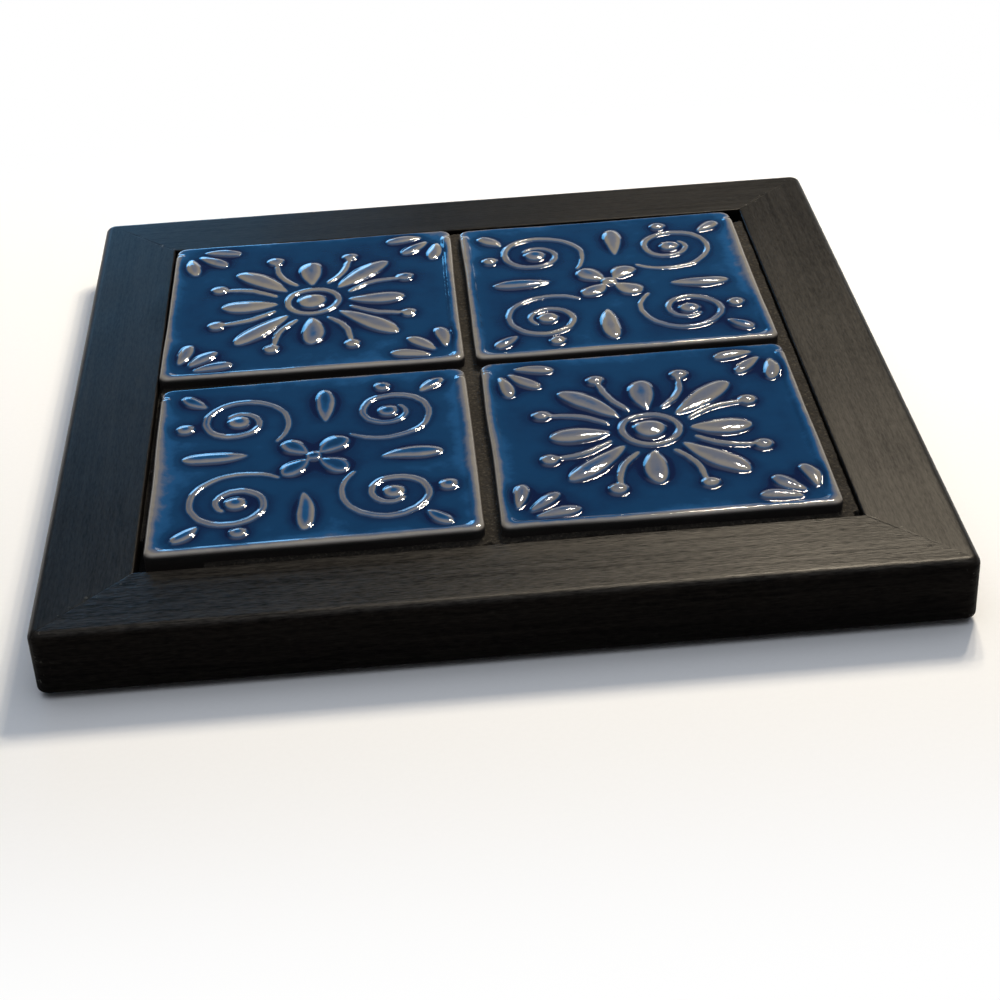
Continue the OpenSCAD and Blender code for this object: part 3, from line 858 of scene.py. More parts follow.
class Relief:
    """Raised forms on one tile's field, each pressed into one map of heights by hand."""

    def __init__(self, x, y, half, seed, tiles):
        self.x, self.y, self.half, self.tiles = x, y, half, tiles
        self.total = np.zeros_like(x)
        self.crest = np.zeros_like(x)
        self.random = np.random.default_rng(seed)

    def press(self, height, crest):
        """Adds a form so that it melts a little into what it meets, and notes where its crest is."""
        self.total += np.clip(height / self.tiles.lobe_height, 0, None) ** MELT_POWER
        self.crest = np.maximum(self.crest, crest)

    def heights(self):
        """The map of heights above the field."""
        return self.total ** (1 / MELT_POWER) * self.tiles.lobe_height

    def by_hand(self, spread):
        """A share near one, as different as handwork makes it."""
        return 1 + self.random.uniform(-spread, spread)

    def bead(self, x, y, radius, height):
        """A round drop."""
        stray = self.random.uniform(-PLACE_SPREAD, PLACE_SPREAD, 2)
        reach = self.half * radius * self.by_hand(SIZE_SPREAD)
        dx = self.x - self.half * (x + stray[0])
        dy = self.y - self.half * (y + stray[1])
        t = np.clip(np.hypot(dx, dy) / reach, 0, 1)
        self.press(height * self.by_hand(BOSS_SPREAD) * domed(t), 1 - t ** 2)

    def lobe(self, shape, turn, origin=(0.0, 0.0), shift=0.0):
        """A leaf that starts at a share of the way out from an origin, and points along the turn."""
        start, length, width = shape
        angle = radians(turn + self.random.uniform(-TURN_SPREAD, TURN_SPREAD))
        length = self.half * length * self.by_hand(LENGTH_SPREAD)
        width = self.half * width * self.by_hand(SIZE_SPREAD) / 2
        bend = self.half * self.random.uniform(-BEND_SPREAD, BEND_SPREAD)
        u, v = turned(self.x - self.half * origin[0], self.y - self.half * origin[1], -angle)
        s = (u - self.half * start) / length
        inside = (s > 0) & (s < 1)
        s = np.clip(s, 0, 1)
        v = v - self.half * shift - bend * np.sin(pi * s)
        full = LOBE_FULLEST ** TIP_POWER * (1 - LOBE_FULLEST) ** END_POWER
        body = s ** TIP_POWER * (1 - s) ** END_POWER / full
        t = np.clip(abs(v) / np.maximum(width * body, TINY), 0, 1)
        t = np.where(inside, t, 1)
        height = self.tiles.lobe_height * self.by_hand(HEIGHT_SPREAD) * body ** HEIGHT_POWER
        self.press(height * domed(t), (1 - t ** 2) * body ** CREST_POWER)

    def ridge(self, path):
        """A rounded line along a path of points, thinner towards its ends."""
        path = self.half * np.asarray(path)
        path = path + self.random.uniform(-LINE_SPREAD, LINE_SPREAD, path.shape)
        wide = self.tiles.ridge_width
        near = (
            (self.x > path[:, 0].min() - wide) & (self.x < path[:, 0].max() + wide)
            & (self.y > path[:, 1].min() - wide) & (self.y < path[:, 1].max() + wide)
        )
        x, y = self.x[near], self.y[near]
        closest, along = np.full(x.shape, np.inf), np.zeros(x.shape)
        last = len(path) - 1
        for k in range(last):
            start, run = path[k], path[k + 1] - path[k]
            t = np.clip(((x - start[0]) * run[0] + (y - start[1]) * run[1]) / (run @ run), 0, 1)
            gap = np.hypot(x - start[0] - t * run[0], y - start[1] - t * run[1])
            nearer = gap < closest
            closest = np.where(nearer, gap, closest)
            along = np.where(nearer, (k + t) / last, along)
        swell = RIDGE_END + (1 - RIDGE_END) * np.sqrt(np.sin(pi * np.clip(along, 0, 1)))
        t = np.clip(closest / (swell * wide / 2), 0, 1)
        crest = np.zeros_like(self.x)
        crest[near] = 1 - t ** 2
        height = np.zeros_like(self.x)
        height[near] = self.tiles.ridge_height * swell * domed(t)
        self.press(height, crest)

    def ring(self, radius):
        """A rounded line round the middle."""
        gap = np.hypot(self.x, self.y) - self.half * radius
        t = np.clip(abs(gap) / (self.tiles.ridge_width / 2), 0, 1)
        self.press(self.tiles.ridge_height * domed(t), 1 - t ** 2)

    def rosette(self):
        """A boss in a ring, eight petals, stems between them and a fan in each corner."""
        tiles = self.tiles
        self.bead(0, 0, BOSS_SHARE, tiles.boss_height)
        self.ring(RING_SHARE)
        start, end, bend = STEM_SHARES
        steps = np.linspace(0, 1, STEM_STEPS + 1)
        for quarter in range(4):
            turn = 90 * quarter
            self.lobe(SHORT_PETAL, turn)
            self.lobe(LONG_PETAL, turn + 45)
            for side in (-1, 1):
                angle = radians(turn + STEM_SPREAD * side)
                sway = bend * side * self.by_hand(SWAY_SPREAD)
                stem = turned(start + (end - start) * steps, sway * np.sin(pi * steps), angle)
                self.ridge(np.stack(stem, -1))
                self.bead(*turned(end + BEAD_SHARE / 2, 0, angle), BEAD_SHARE, tiles.lobe_height)
            corner = turned(1, 1, radians(turn))
            for fan in (-FAN_SPREAD, 0, FAN_SPREAD):
                self.lobe(FAN_DROP, turn + fan - 135, corner)

    def scrolls(self):
        """A clover, a volute in each quarter, and drops and beads between."""
        tiles = self.tiles
        self.bead(0, 0, BEAD_SHARE, tiles.lobe_height)
        t = np.linspace(0, 1, SCROLL_STEPS + 1)
        radius = SCROLL_OUTER * (SCROLL_INNER / SCROLL_OUTER) ** t
        for quarter in range(4):
            turn = 90 * quarter
            self.lobe(CLOVER_LOBE, turn + 45)
            self.lobe(CORNER_DROP, turn + 45)
            x, y = turned(SCROLL_PLACE, SCROLL_PLACE, radians(turn))
            start = turn - 135 + self.random.uniform(-SCROLL_TURN_SPREAD, SCROLL_TURN_SPREAD)
            angles = radians(start) + radians(SCROLL_TURN) * t
            size = self.by_hand(SCROLL_SPREAD)
            volute = (x + size * radius * np.cos(angles), y + size * radius * np.sin(angles))
            self.ridge(np.stack(volute, -1))
            self.bead(x, y, SCROLL_EYE, tiles.lobe_height)
            self.lobe(SIDE_DROP, turn, shift=-SIDE_DROP_SHIFT)
            self.bead(*turned(*SIDE_BEAD_PLACE, radians(turn)), BEAD_SHARE, tiles.lobe_height)


# A tile's mesh: steps round the rim's edge and down its slope
ROUND_STEPS, SLOPE_STEPS = 8, 7
# Heights of the skirt's rings below the round-over, as shares of its height
SKIRT_SHARES = (0.92, 0.8, 0.6, 0.35, 0.12, 0.03, 0.0)
# How far the lowest ring is drawn in, and how far and how widely the skirt sways
FOOT_DRAW, SKIRT_SWAY, SKIRT_WAVE = 0.35 * MM, 0.1 * MM, 6 * MM
# How far in from the edge the grid's corners stay round
ROUND_REACH = 9 * MM
# What the hand leaves in a tile's face, as heights and widths of waves
HAND_WAVES = ((0.09 * MM, 14 * MM), (0.12 * MM, 45 * MM), (0.03 * MM, 4 * MM))
# How far and how widely the relief strays from its drawing, and how widely an edge strays
STRAY, STRAY_WAVE, EDGE_WAVE = 0.2 * MM, 5 * MM, 19 * MM
# Ripples on the front rim: their height and width, and their place and reach as shares of the rim
RIPPLE, RIPPLE_WAVE, RIPPLE_PLACE, RIPPLE_REACH = 0.05 * MM, 1.1 * MM, 0.6, 0.45
# Shares of half a tile's width, rightwards, over which the ripples start
RIPPLE_START, RIPPLE_RISE = 0.1, 0.7
# Depths of glaze, from 0 on a bare crest to 1 in the deepest pool: on the field, the least
# anywhere, on the sides, and how much is missing beside the rim over the lean reach
FIELD_DEPTH, LEAST_DEPTH, SIDE_DEPTH, LEAN_DEPTH, LEAN_REACH = 0.58, 0.03, 0.05, 0.06, 3 * MM
# A second, closer pool: its strength and its reach as shares of the first one's
CLOSE_POOL, CLOSE_REACH = 0.45, 0.4
# How quickly a crest loses its glaze, and the most that a pool counts
CREST_GAIN, POOL_MOST = 1.5, 0.5
# The rim's pale line: where it starts to fade, as a share of the round-over, and how steeply
LINE_START, LINE_POWER = 0.2, 1.2
# How much of the rim's pale line is missing where the rim is sunk
SUNK_RIM = 0.6
# Where a rim's edge is rubbed: distance from the side, and reach
RUB_PLACE, RUB_REACH = 0.6 * MM, 0.7 * MM
# Grout residue and painted shade on the face's outer edge: how strong they start, and how far in they
# reach, as a share of the round-over
RESIDUE_SHADE_START, RESIDUE_SHADE_REACH = 1.15, 0.34
# How much less of the residue and painted shade a side has at its foot
LIGHTER_FOOT = 0.25


def face_lines(half, tiles):
    """Places of the grid lines across a tile: close together over the rim, even over the field."""
    over = tiles.rim_round * (1 - np.cos(np.linspace(0, pi / 2, ROUND_STEPS + 1)))
    slope = np.linspace(tiles.rim_round, tiles.rim_width, SLOPE_STEPS + 1)[1:-1]
    rim = half - np.concatenate([over, slope])
    field = half - tiles.rim_width
    inner = np.linspace(0, field, int(ceil(field / tiles.mesh_step)) + 1)
    outer = np.concatenate([inner, rim[::-1]])
    return np.concatenate([-outer[:0:-1], outer])


def rim_height(inset, sunk, tiles):
    """Height of the rim and field above the tile's underside, by distance from the edge."""
    gap = np.clip(tiles.rim_round - inset, 0, None)
    crest = tiles.height - tiles.rim_round + np.sqrt(np.clip(tiles.rim_round ** 2 - gap ** 2, 0, None))
    crest = crest - np.clip(tiles.rim_crest - inset, 0, None) ** 2 / (2 * tiles.rim_dome)
    slope = np.clip((inset - tiles.rim_crest) / (tiles.rim_width - tiles.rim_crest), 0, 1)
    fall = (1 - np.cos(pi * slope)) / 2
    return crest - tiles.field_drop * fall - tiles.rim_sink * sunk * (1 - fall)


def tile_relief(name, x, y, half, seed, tiles):
    """The relief of a tile's design, a little astray from its drawing."""
    stray = [STRAY * lattice_noise(x, y, STRAY_WAVE, seed + k) for k in (20, 21)]
    relief = Relief(x + stray[0], y + stray[1], half - tiles.rim_width, seed, tiles)
    if name in ROSETTE_TILES:
        relief.rosette()
    else:
        relief.scrolls()
    return relief


def handwork(name, x, y, half, seed, tiles):
    """Waves in a tile's face, and ripples in the runny glaze on its front rim towards the right."""
    ripple = close_to(y + half - RIPPLE_PLACE * tiles.rim_width, RIPPLE_REACH * tiles.rim_width)
    ripple = ripple * smooth((x / half - RIPPLE_START) / RIPPLE_RISE) * RIPPLES.get(name, 0.0)
    uneven = waves(x, y, HAND_WAVES, seed + 1)
    uneven = uneven + ripple * RIPPLE * lattice_noise(x, y, RIPPLE_WAVE, seed + 7)
    return uneven - ripple * RIPPLE * (x / half)


def glaze_depth(name, raised, relief, inset, sunk, tiles):
    """Depth of the glaze: thin on whatever stands up, and pooled round its foot."""
    share = raised / tiles.lobe_height
    fade = np.clip(inset - LINE_START * tiles.rim_round, 0, None) / tiles.rim_fade
    rim_share = np.exp(-fade ** LINE_POWER) * (1 - SUNK_RIM * sunk)
    top = blurred(relief.crest, tiles.thin_reach / tiles.mesh_step)
    off_crest = 1 - smooth(CREST_GAIN * top)
    pooled = blurred(share, tiles.pool_reach / tiles.mesh_step)
    pooled = pooled + CLOSE_POOL * blurred(share, CLOSE_REACH * tiles.pool_reach / tiles.mesh_step)
    glaze = FIELD_DEPTH * off_crest + tiles.pooling * np.clip(pooled, 0, POOL_MOST) * off_crest ** 3
    glaze = glaze * (1 - rim_share) + tiles.veil * VEILS[name] * top ** 2
    lean = 1 - smooth((inset - tiles.rim_width) / LEAN_REACH)
    return np.clip(glaze - LEAN_DEPTH * lean, LEAST_DEPTH, 1)


def skirt_rings(edge_points, half, seed):
    """Rings of points below a tile's edge, down to its back."""
    x, y, z = edge_points.T
    rings = []
    for k, share in enumerate(SKIRT_SHARES):
        drawn_in = 1 - (FOOT_DRAW if share == 0 else 0.0) / half
        sway = SKIRT_SWAY / half * lattice_noise(x * 1.3 + y, y, SKIRT_WAVE, seed + 6 + k)
        reach = drawn_in - abs(sway)
        rings.append(np.stack([x * reach, y * reach, z * share], -1))
    return rings


def tile_place(name):
    """A tile's middle, half its width and its turn, from the box round the turned tile."""
    low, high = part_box("tile_" + name)
    turn = radians(TILE_TURNS[name])
    spread = cos(turn) + abs(sin(turn))
    half = ((high.x - low.x) - 2 * TILE_CORNER) / spread / 2 + TILE_CORNER
    return (low + high) / 2, half, turn


def make_tile(name, order, tiles, material):
    """One handmade tile: a grid of heights for its face, and a skirt and back below it."""
    node = "tile_" + name
    centre, half, turn = tile_place(name)
    seed = tiles.seed + 100 * order

    lines = face_lines(half, tiles)
    x, y = np.meshgrid(lines, lines, indexing="ij")
    far = np.maximum(abs(x), abs(y))
    inset = half - far
    radius = TILE_CORNER * np.clip(1 - (inset - tiles.rim_width) / ROUND_REACH, 0, 1)
    x, y = rounded_square(x, y, np.where(inset < tiles.rim_width, TILE_CORNER, radius))

    relief = tile_relief(name, x, y, half, seed, tiles)
    raised = blurred(relief.heights(), tiles.softening / tiles.mesh_step)
    sunk = smooth((y - half + 2 * tiles.rim_width) / tiles.rim_width)
    uneven = handwork(name, x, y, half, seed, tiles)
    z = rim_height(inset, sunk, tiles) + RELIEF_SHARES[name] * raised + uneven
    glaze = glaze_depth(name, raised, relief, inset, sunk, tiles).ravel()
    rubbed = close_to(inset - RUB_PLACE, RUB_REACH).ravel()
    # The outer edge of the face: bare clay, with grout residue and painted shade
    outer_band = smooth(RESIDUE_SHADE_START - inset / (RESIDUE_SHADE_REACH * tiles.rim_round)).ravel()

    # Every side strays from straight in its own way, and the field hardly does
    reach = (far / half) ** 3
    x = x + tiles.edge_wave * reach * lattice_noise(y + np.sign(x), 7 * seed * MM, EDGE_WAVE, seed + 4)
    y = y + tiles.edge_wave * reach * lattice_noise(x + np.sign(y), 9 * seed * MM, EDGE_WAVE, seed + 5)
    face = joined(x, y, z)

    index = np.arange(x.size).reshape(x.shape)
    border = border_of(index)
    points = np.concatenate([face, *skirt_rings(face[border], half, seed)])
    faces = grid_faces(index)
    upper = border
    for first in range(len(face), len(points), len(border)):
        lower = np.arange(first, first + len(border))
        faces += band_faces(upper, lower)
        upper = lower
    faces.append(upper[::-1].tolist())
    # The sides are bare clay, darkened by grout residue and painted shade, most towards the top
    heights = np.repeat(SKIRT_SHARES, len(border))
    values = {
        "glaze": np.concatenate([glaze, np.full(heights.size, SIDE_DEPTH)]),
        "edge": np.concatenate([rubbed, np.zeros(heights.size)]),
        "bare": np.concatenate([outer_band, np.ones(heights.size)]),
        "residue_and_shade": np.concatenate([outer_band, 1 - LIGHTER_FOOT * (1 - heights)]),
    }

    px, py = turned(points[:, 0], points[:, 1], turn)
    points = joined(px + centre.x, py + centre.y, points[:, 2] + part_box(node)[0].z)
    piece = new_piece(
        f"glazed_{node}", points, faces, material, values, sharp_angle=radians(60))
    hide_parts(node)


# The frame

# Distance beside an arc at which a further point keeps the flat next to it evenly shaded
GUARD = 0.12 * MM
# How far the rails' meshes end above the solids' foot
FOOT_LIFT = 0.05 * MM
# The last part of a rail's half length, over which its mitre is eased, as a share
MITRE_SHARE = 0.3 * MM / OUTSIDE
# Sections along half a rail: up to the round corner, and round it
RAIL_STATIONS, TURN_STATIONS = 46, 8
# Widths of the waves along a mitre, and in the top and the side of a rail
MITRE_WAVE, TOP_WAVE, SIDE_WAVE = 2.2 * MM, 16 * MM, 20 * MM
# How far below the top, and how far in from the side, the waves there fade
TOP_FADE, SIDE_FADE = 0.4 * MM, 0.3 * MM
# How open a mitre stands on the whole, from 0 for closed to 1 for fully eased
MITRE_OPEN = 0.45
# Starts of the random numbers
MITRE_SEED, RAIL_SEED = 60, 71
# How far a face has to look upwards to take polish, and over how much more it takes all of it
UPWARD_START, UPWARD_RISE = 0.3, 0.6
# How far from the outer top corner and from the lip's corner the stain is rubbed, and the lip's share
TOP_RUB, LIP_RUB, LIP_RUB_SHARE = 1.1 * MM, 0.6 * MM, 0.5
# How far and how much the polish is missing at the lip
LIP_SHADE, LIP_SHADE_SHARE = 0.5 * MM, 0.85
# The brightest line of the outer top edge: distance from the side as a share of the edge's radius,
# reach, and how much more polish it has
ARRIS_PLACE, ARRIS_REACH, ARRIS_SHARE = 0.88, 0.22 * MM, 0.5
# How far from a mitre dust has settled
MITRE_DUST = 1.1 * MM
# How far apart, along and across, the rails lie in the board that their grain is read from
GRAIN_SHIFT = (0.31, 0.02)


def arc(centre, radius, start, end, steps):
    """Points of an arc in a section, from one angle to another in degrees."""
    angles = np.radians(np.linspace(start, end, steps + 1))
    return np.stack([centre[0] + radius * np.cos(angles), centre[1] + radius * np.sin(angles)], -1)


def straight(start, end, steps):
    """Points between two places, without the places themselves."""
    return np.linspace(start, end, steps + 1)[1:-1]


def rail_outline(rails):
    """A rail's section, clockwise from the lip: distance from the trivet's middle, and height."""
    rebate = PANEL_HIGH.x + rails.rebate_gap
    ceiling, under = PANEL_HIGH.z, FOOT + FOOT_LIFT
    lip, top, foot = rails.lip_edge, rails.top_edge, rails.foot_edge
    parts = [
        [(OPENING, ceiling)],
        straight((OPENING, ceiling), (OPENING, FRAME_TOP - lip), steps=8),
        arc((OPENING + lip, FRAME_TOP - lip), lip, 180, 90, steps=6),
        [(OPENING + lip + GUARD, FRAME_TOP)],
        straight((OPENING + lip, FRAME_TOP), (OUTSIDE - top, FRAME_TOP), steps=26),
        [(OUTSIDE - top - GUARD, FRAME_TOP)],
        arc((OUTSIDE - top, FRAME_TOP - top), top, 90, 0, steps=10),
        [(OUTSIDE, FRAME_TOP - top - GUARD)],
        straight((OUTSIDE, FRAME_TOP - top), (OUTSIDE, under + foot), steps=16),
        [(OUTSIDE, under + foot + GUARD)],
        arc((OUTSIDE - foot, under + foot), foot, 0, -90, steps=6),
        straight((OUTSIDE - foot, under), (rebate, under), steps=12),
        [(rebate, under)],
        straight((rebate, under), (rebate, ceiling), steps=6),
        [(rebate, ceiling)],
        straight((rebate, ceiling), (OPENING, ceiling), steps=5),
    ]
    return np.concatenate([np.asarray(part, float).reshape(-1, 2) for part in parts])


def outward(outline):
    """The section's outward direction at each of its points."""
    run = np.roll(outline, -1, 0) - np.roll(outline, 1, 0)
    side = np.stack([-run[:, 1], run[:, 0]], -1)
    return side / np.linalg.norm(side, axis=1, keepdims=True)


def rail_finish(outline, normals, rails):
    """How rubbed and how polished a rail is at each point of its section."""
    to_corner = np.hypot(outline[:, 0] - OUTSIDE, outline[:, 1] - FRAME_TOP)
    to_lip = np.hypot(outline[:, 0] - OPENING, outline[:, 1] - FRAME_TOP)
    rubbed = close_to(to_corner, TOP_RUB) + LIP_RUB_SHARE * close_to(to_lip, LIP_RUB)
    upward = smooth((normals[:, 1] - UPWARD_START) / UPWARD_RISE)
    polish = upward * (1 - LIP_SHADE_SHARE * close_to(to_lip, LIP_SHADE))
    arris = close_to(outline[:, 0] - OUTSIDE + ARRIS_PLACE * rails.top_edge, ARRIS_REACH)
    return rubbed, polish * (1 + ARRIS_SHARE * arris)


def make_rail(name, order, rails, material):
    """A rail swept between its two mitres, with its share of the round corners."""
    outline = rail_outline(rails)
    normals = outward(outline)
    turn_start = 1 - rails.corner_radius / OUTSIDE
    half = np.concatenate([
        np.linspace(0, turn_start, RAIL_STATIONS)[1:],
        np.linspace(turn_start, 1 - MITRE_SHARE, TURN_STATIONS)[1:],
        [1 - GUARD / OUTSIDE, 1],
    ])
    shares = np.concatenate([-half[::-1], [0], half])

    # The mitre closes in some places and stays open a hair in others
    wave = lattice_noise(outline[:, 0], np.zeros(len(outline)), MITRE_WAVE, MITRE_SEED + order)
    eased = np.clip((abs(shares) - (1 - MITRE_SHARE)) / MITRE_SHARE, 0, 1)
    eased = rails.mitre_ease * eased[:, None] * smooth(MITRE_OPEN + wave)
    away = outline[:, 0] - eased * normals[:, 0]
    height = outline[:, 1] - eased * normals[:, 1]
    along = shares[:, None] * away
    mitre = np.exp(-(away - abs(along)) / MITRE_DUST)
    radius = np.clip(away - (OUTSIDE - rails.corner_radius), 0, None)
    x, y = rounded_square(along, away, radius)

    seed = RAIL_SEED + 10 * order
    on_top = smooth((height - FRAME_TOP + TOP_FADE) / TOP_FADE)
    height = height - rails.undulation * on_top * (1 + lattice_noise(x, y, TOP_WAVE, seed))
    outer = smooth((away - OUTSIDE + SIDE_FADE) / SIDE_FADE)
    y = y - 0.5 * rails.undulation * outer * (1 + lattice_noise(x, height, SIDE_WAVE, seed + 1))

    index = np.arange(x.size).reshape(x.shape)
    closed = np.concatenate([index, index[:, :1]], 1)
    faces = [quad[::-1] for quad in grid_faces(closed)]
    faces += [index[0].tolist(), index[-1][::-1].tolist()]

    # The grain runs along each rail
    shift = GRAIN_SHIFT[0] * (order + 1), GRAIN_SHIFT[1] * order
    rubbed, polish = rail_finish(outline, normals, rails)
    values = {
        "grain": joined(along + shift[0], away + shift[1], height),
        "edge": np.tile(rubbed, len(shares)),
        "mitre": mitre.ravel(),
        "polish": np.tile(polish, len(shares)),
        "figure": np.full(x.size, RAIL_FIGURE[name]),
    }
    points = joined(*turned(x, y, radians(RAIL_TURNS[name])), height)
    piece = new_piece(
        f"stained_{name}", points, faces, material, values, sharp_angle=radians(35))
    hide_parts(name)


# The grout

# Squares in the corners of the opening where the grout has broken away: corner signs and width
BROKEN_PLACES = (((1, 1), 5.4 * MM), ((-1, -1), 15.3 * MM))
# The side of such a place: how far it strays, the width of its waves, and how far it slopes
BREAK_STRAY, BREAK_WAVE, BREAK_SLOPE = 1.1 * MM, 2 * MM, 1.2 * MM
# How far the grout runs in under the tiles' edges, and how far it stays above the base panel
GROUT_OVERLAP, SEAT_GAP = 0.9 * MM, 0.02 * MM
# Waves in the grout's face, as shares of the grit's height and as widths
GRIT_WAVES = ((0.6, 0.55 * MM), (0.5, 1.1 * MM), (1.1, 5 * MM))
# Waves in the crack's width, as shares of that width and as widths of their own
CRACK_WAVES = ((0.55, 2.5 * MM), (0.35, 0.7 * MM))
# Along the front and left rails, this far in, the crack is this many times as wide
GAPE_REACH, GAPE = 3 * MM, 4.0
# Elsewhere it has this share of its depth
HAIRLINE = 0.3
# How far the crack's side slopes, and how near a tile the grout rises to it
CRACK_SLOPE, SLUMP_REACH = 0.35 * MM, 0.5 * MM
# Over what depth below the slumped face a hollow is painted dark as shade, and the share of that depth
# that gets no painted shade
SHADE_DEPTH, SHADE_START = 2.2 * MM, 0.15


def gap_to_tiles(x, y):
    """Distance from the nearest tile's side, below zero inside a tile."""
    nearest = np.full(x.shape, np.inf)
    for name in TILES:
        centre, half, turn = tile_place(name)
        u, v = turned(x - centre.x, y - centre.y, -turn)
        du, dv = abs(u) - half + TILE_CORNER, abs(v) - half + TILE_CORNER
        outside = np.hypot(np.clip(du, 0, None), np.clip(dv, 0, None)) - TILE_CORNER
        gap = outside + np.clip(np.maximum(du, dv), None, 0)
        nearest = np.minimum(nearest, gap)
    return nearest


def grout_height(x, y, to_tile, grout):
    """Height of the grout's gritty face, with its slump, its crack and its broken places."""
    seed = grout.seed
    to_frame = OPENING - np.maximum(abs(x), abs(y))
    gapes = np.minimum(x, y) < GAPE_REACH - OPENING
    width = grout.crack_width * np.where(gapes, GAPE, 1.0) * (1 + waves(x, y, CRACK_WAVES, seed + 3))
    crack = smooth((width - to_frame) / CRACK_SLOPE) * np.where(gapes, 1.0, HAIRLINE)
    broken = np.zeros_like(x)
    for (sx, sy), size in BROKEN_PLACES:
        inward = np.maximum(OPENING - sx * x, OPENING - sy * y) - size
        inward = inward + BREAK_STRAY * lattice_noise(x, y, BREAK_WAVE, seed + 5)
        broken = np.maximum(broken, smooth(-inward / BREAK_SLOPE))
    missing = np.maximum(crack * grout.crack_depth, broken * grout.broken_depth)
    sunk = grout.slump * (1 - np.exp(-np.clip(to_tile, 0, None) / SLUMP_REACH))
    z = GROUT_TOP - sunk + grout.grit * waves(x, y, GRIT_WAVES, seed) - missing
    return np.minimum(z, GROUT_TOP + 0.5 * grout.grit)


def make_grout(grout, material):
    """The grout between the tiles: its face where no tile covers it, closed below and all round."""
    count = int(ceil(2 * OPENING / grout.mesh_step))
    lines = np.linspace(-OPENING, OPENING, count + 1)
    x, y = np.meshgrid(lines, lines, indexing="ij")
    to_tile = gap_to_tiles(x, y)
    z = grout_height(x, y, to_tile, grout)

    middle = (to_tile[:-1, :-1] + to_tile[1:, 1:] + to_tile[1:, :-1] + to_tile[:-1, 1:]) / 4
    quads = np.array(grid_faces(np.arange(x.size).reshape(x.shape)))
    used, flat = np.unique(quads[middle.ravel() > -GROUT_OVERLAP], return_inverse=True)
    top = flat.reshape(-1, 4)

    # A side that no other quad shares gets a wall down to the closed bottom
    n = len(used)
    upper = joined(x, y, z)[used]
    lower = upper.copy()
    lower[:, 2] = PANEL_HIGH.z + SEAT_GAP
    sides = np.concatenate([top[:, [k, (k + 1) % 4]] for k in range(4)])
    shared = np.isin(sides[:, 0] * n + sides[:, 1], sides[:, 1] * n + sides[:, 0])
    start, end = sides[~shared].T
    walls = np.stack([end, start, start + n, end + n], -1)
    faces = top.tolist() + (top[:, ::-1] + n).tolist() + walls.tolist()

    points = np.concatenate([upper, lower])
    # Painted shade in the hollows: how far each point lies below the slumped face, and full on the closed
    # bottom
    depth = np.clip((GROUT_TOP - grout.slump - upper[:, 2]) / SHADE_DEPTH - SHADE_START, 0, 1)
    values = {"depth": np.concatenate([depth, np.ones(n)])}
    piece = new_piece(
        "sanded_grout", points, faces, material, values, sharp_angle=radians(70))
    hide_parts("grout")


# The pads

# Rings of points in a pad's flat faces, as shares of its radius, and points round each ring
PAD_RINGS, PAD_SECTORS = (0.3, 0.6, 0.85), 96
# How far the felt frays, the width of a tuft, and the radius of the circle its noise is read round
FRAY, TUFT, FRAY_CIRCLE = 0.09 * MM, 0.7 * MM, 9 * MM


def make_pad(name, order, base, material):
    """A felt disc with soft, slightly frayed edges."""
    node = "pad_" + name
    low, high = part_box(node)
    centre, radius = (low + high) / 2, (high.x - low.x) / 2
    edge, tall = base.pad_edge, high.z - low.z
    profile = np.concatenate([
        [(radius * share, 0.0) for share in PAD_RINGS],
        arc((radius - edge, edge), edge, -90, 0, steps=5),
        [(radius, tall / 2)],
        arc((radius - edge, tall - edge), edge, 0, 90, steps=5),
        [(radius * share, tall) for share in reversed(PAD_RINGS)],
    ])
    angles = np.linspace(0, 2 * pi, PAD_SECTORS, endpoint=False)
    out, up = profile[:, :1], profile[:, 1:]
    u, v = FRAY_CIRCLE * np.cos(angles), FRAY_CIRCLE * np.sin(angles) + 3 * up
    fray = FRAY * (1 + lattice_noise(u, v, TUFT, base.seed + order))
    reach = out - fray * smooth(2 * out / radius - 1)
    x, y = centre.x + reach * np.cos(angles), centre.y + reach * np.sin(angles)
    z = low.z + np.broadcast_to(up, x.shape)
    middles = [(centre.x, centre.y, low.z), (centre.x, centre.y, high.z)]
    points = np.concatenate([joined(x, y, z), middles])
    index = np.arange(x.size).reshape(x.shape)
    faces = []
    for lower, upper in zip(index[:-1], index[1:]):
        faces += band_faces(upper, lower)
    for start, end in zip(index[0], np.roll(index[0], -1)):
        faces.append([x.size, int(end), int(start)])
    for start, end in zip(index[-1], np.roll(index[-1], -1)):
        faces.append([x.size + 1, int(start), int(end)])
    piece = new_piece(f"felt_{node}", points, faces, material)
    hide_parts(node)


# The stage

# Where the camera stands, and how it is turned, in degrees
CAMERA_PLACE = (-0.01673, -0.45491, 0.269)
CAMERA_TURN = (57.2549, 2.5957, -4.2678)
# The key light: rows and columns of round warm lamps on one board that faces the trivet
KEY_PLACE = (0.231, 0.395, 0.606)
KEY_ROWS, KEY_COLUMNS = 2, 3
KEY_PITCH = 0.078
KEY_LAMP_SIZE = 0.036
KEY_WATTS = 0.92
KEY_COLOUR = (1.0, 0.89, 0.72)
# A low cool window far behind on the left
WINDOW_PLACE = (-0.47, 2.08, 0.34)
WINDOW_SIZE = (0.62, 0.6)
WINDOW_WATTS = 5.0
WINDOW_COLOUR = (0.13, 0.52, 1.0)
# Sine of the elevation above which the room grows lighter towards the ceiling
CEILING_START = 0.6
# Rings of points in the flat floor and its turned-up edge, points round each, and the first radius
FLOOR_RINGS, COVE_RINGS, FLOOR_SECTORS, FLOOR_START = 24, 16, 96, 0.05


def make_lamp(name, place, size, watts, colour, shape="RECTANGLE"):
    """A flat lamp that faces the trivet."""
    lamp = bpy.data.lights.new(name, "AREA")
    lamp.shape = shape
    lamp.size, lamp.size_y = size
    lamp.energy = watts
    lamp.color = colour
    holder = bpy.data.objects.new(name, lamp)
    holder.location = place
    holder.rotation_euler = Vector(place).to_track_quat("Z", "Y").to_euler()
    holder.visible_camera = False
    add_to_scene(holder)


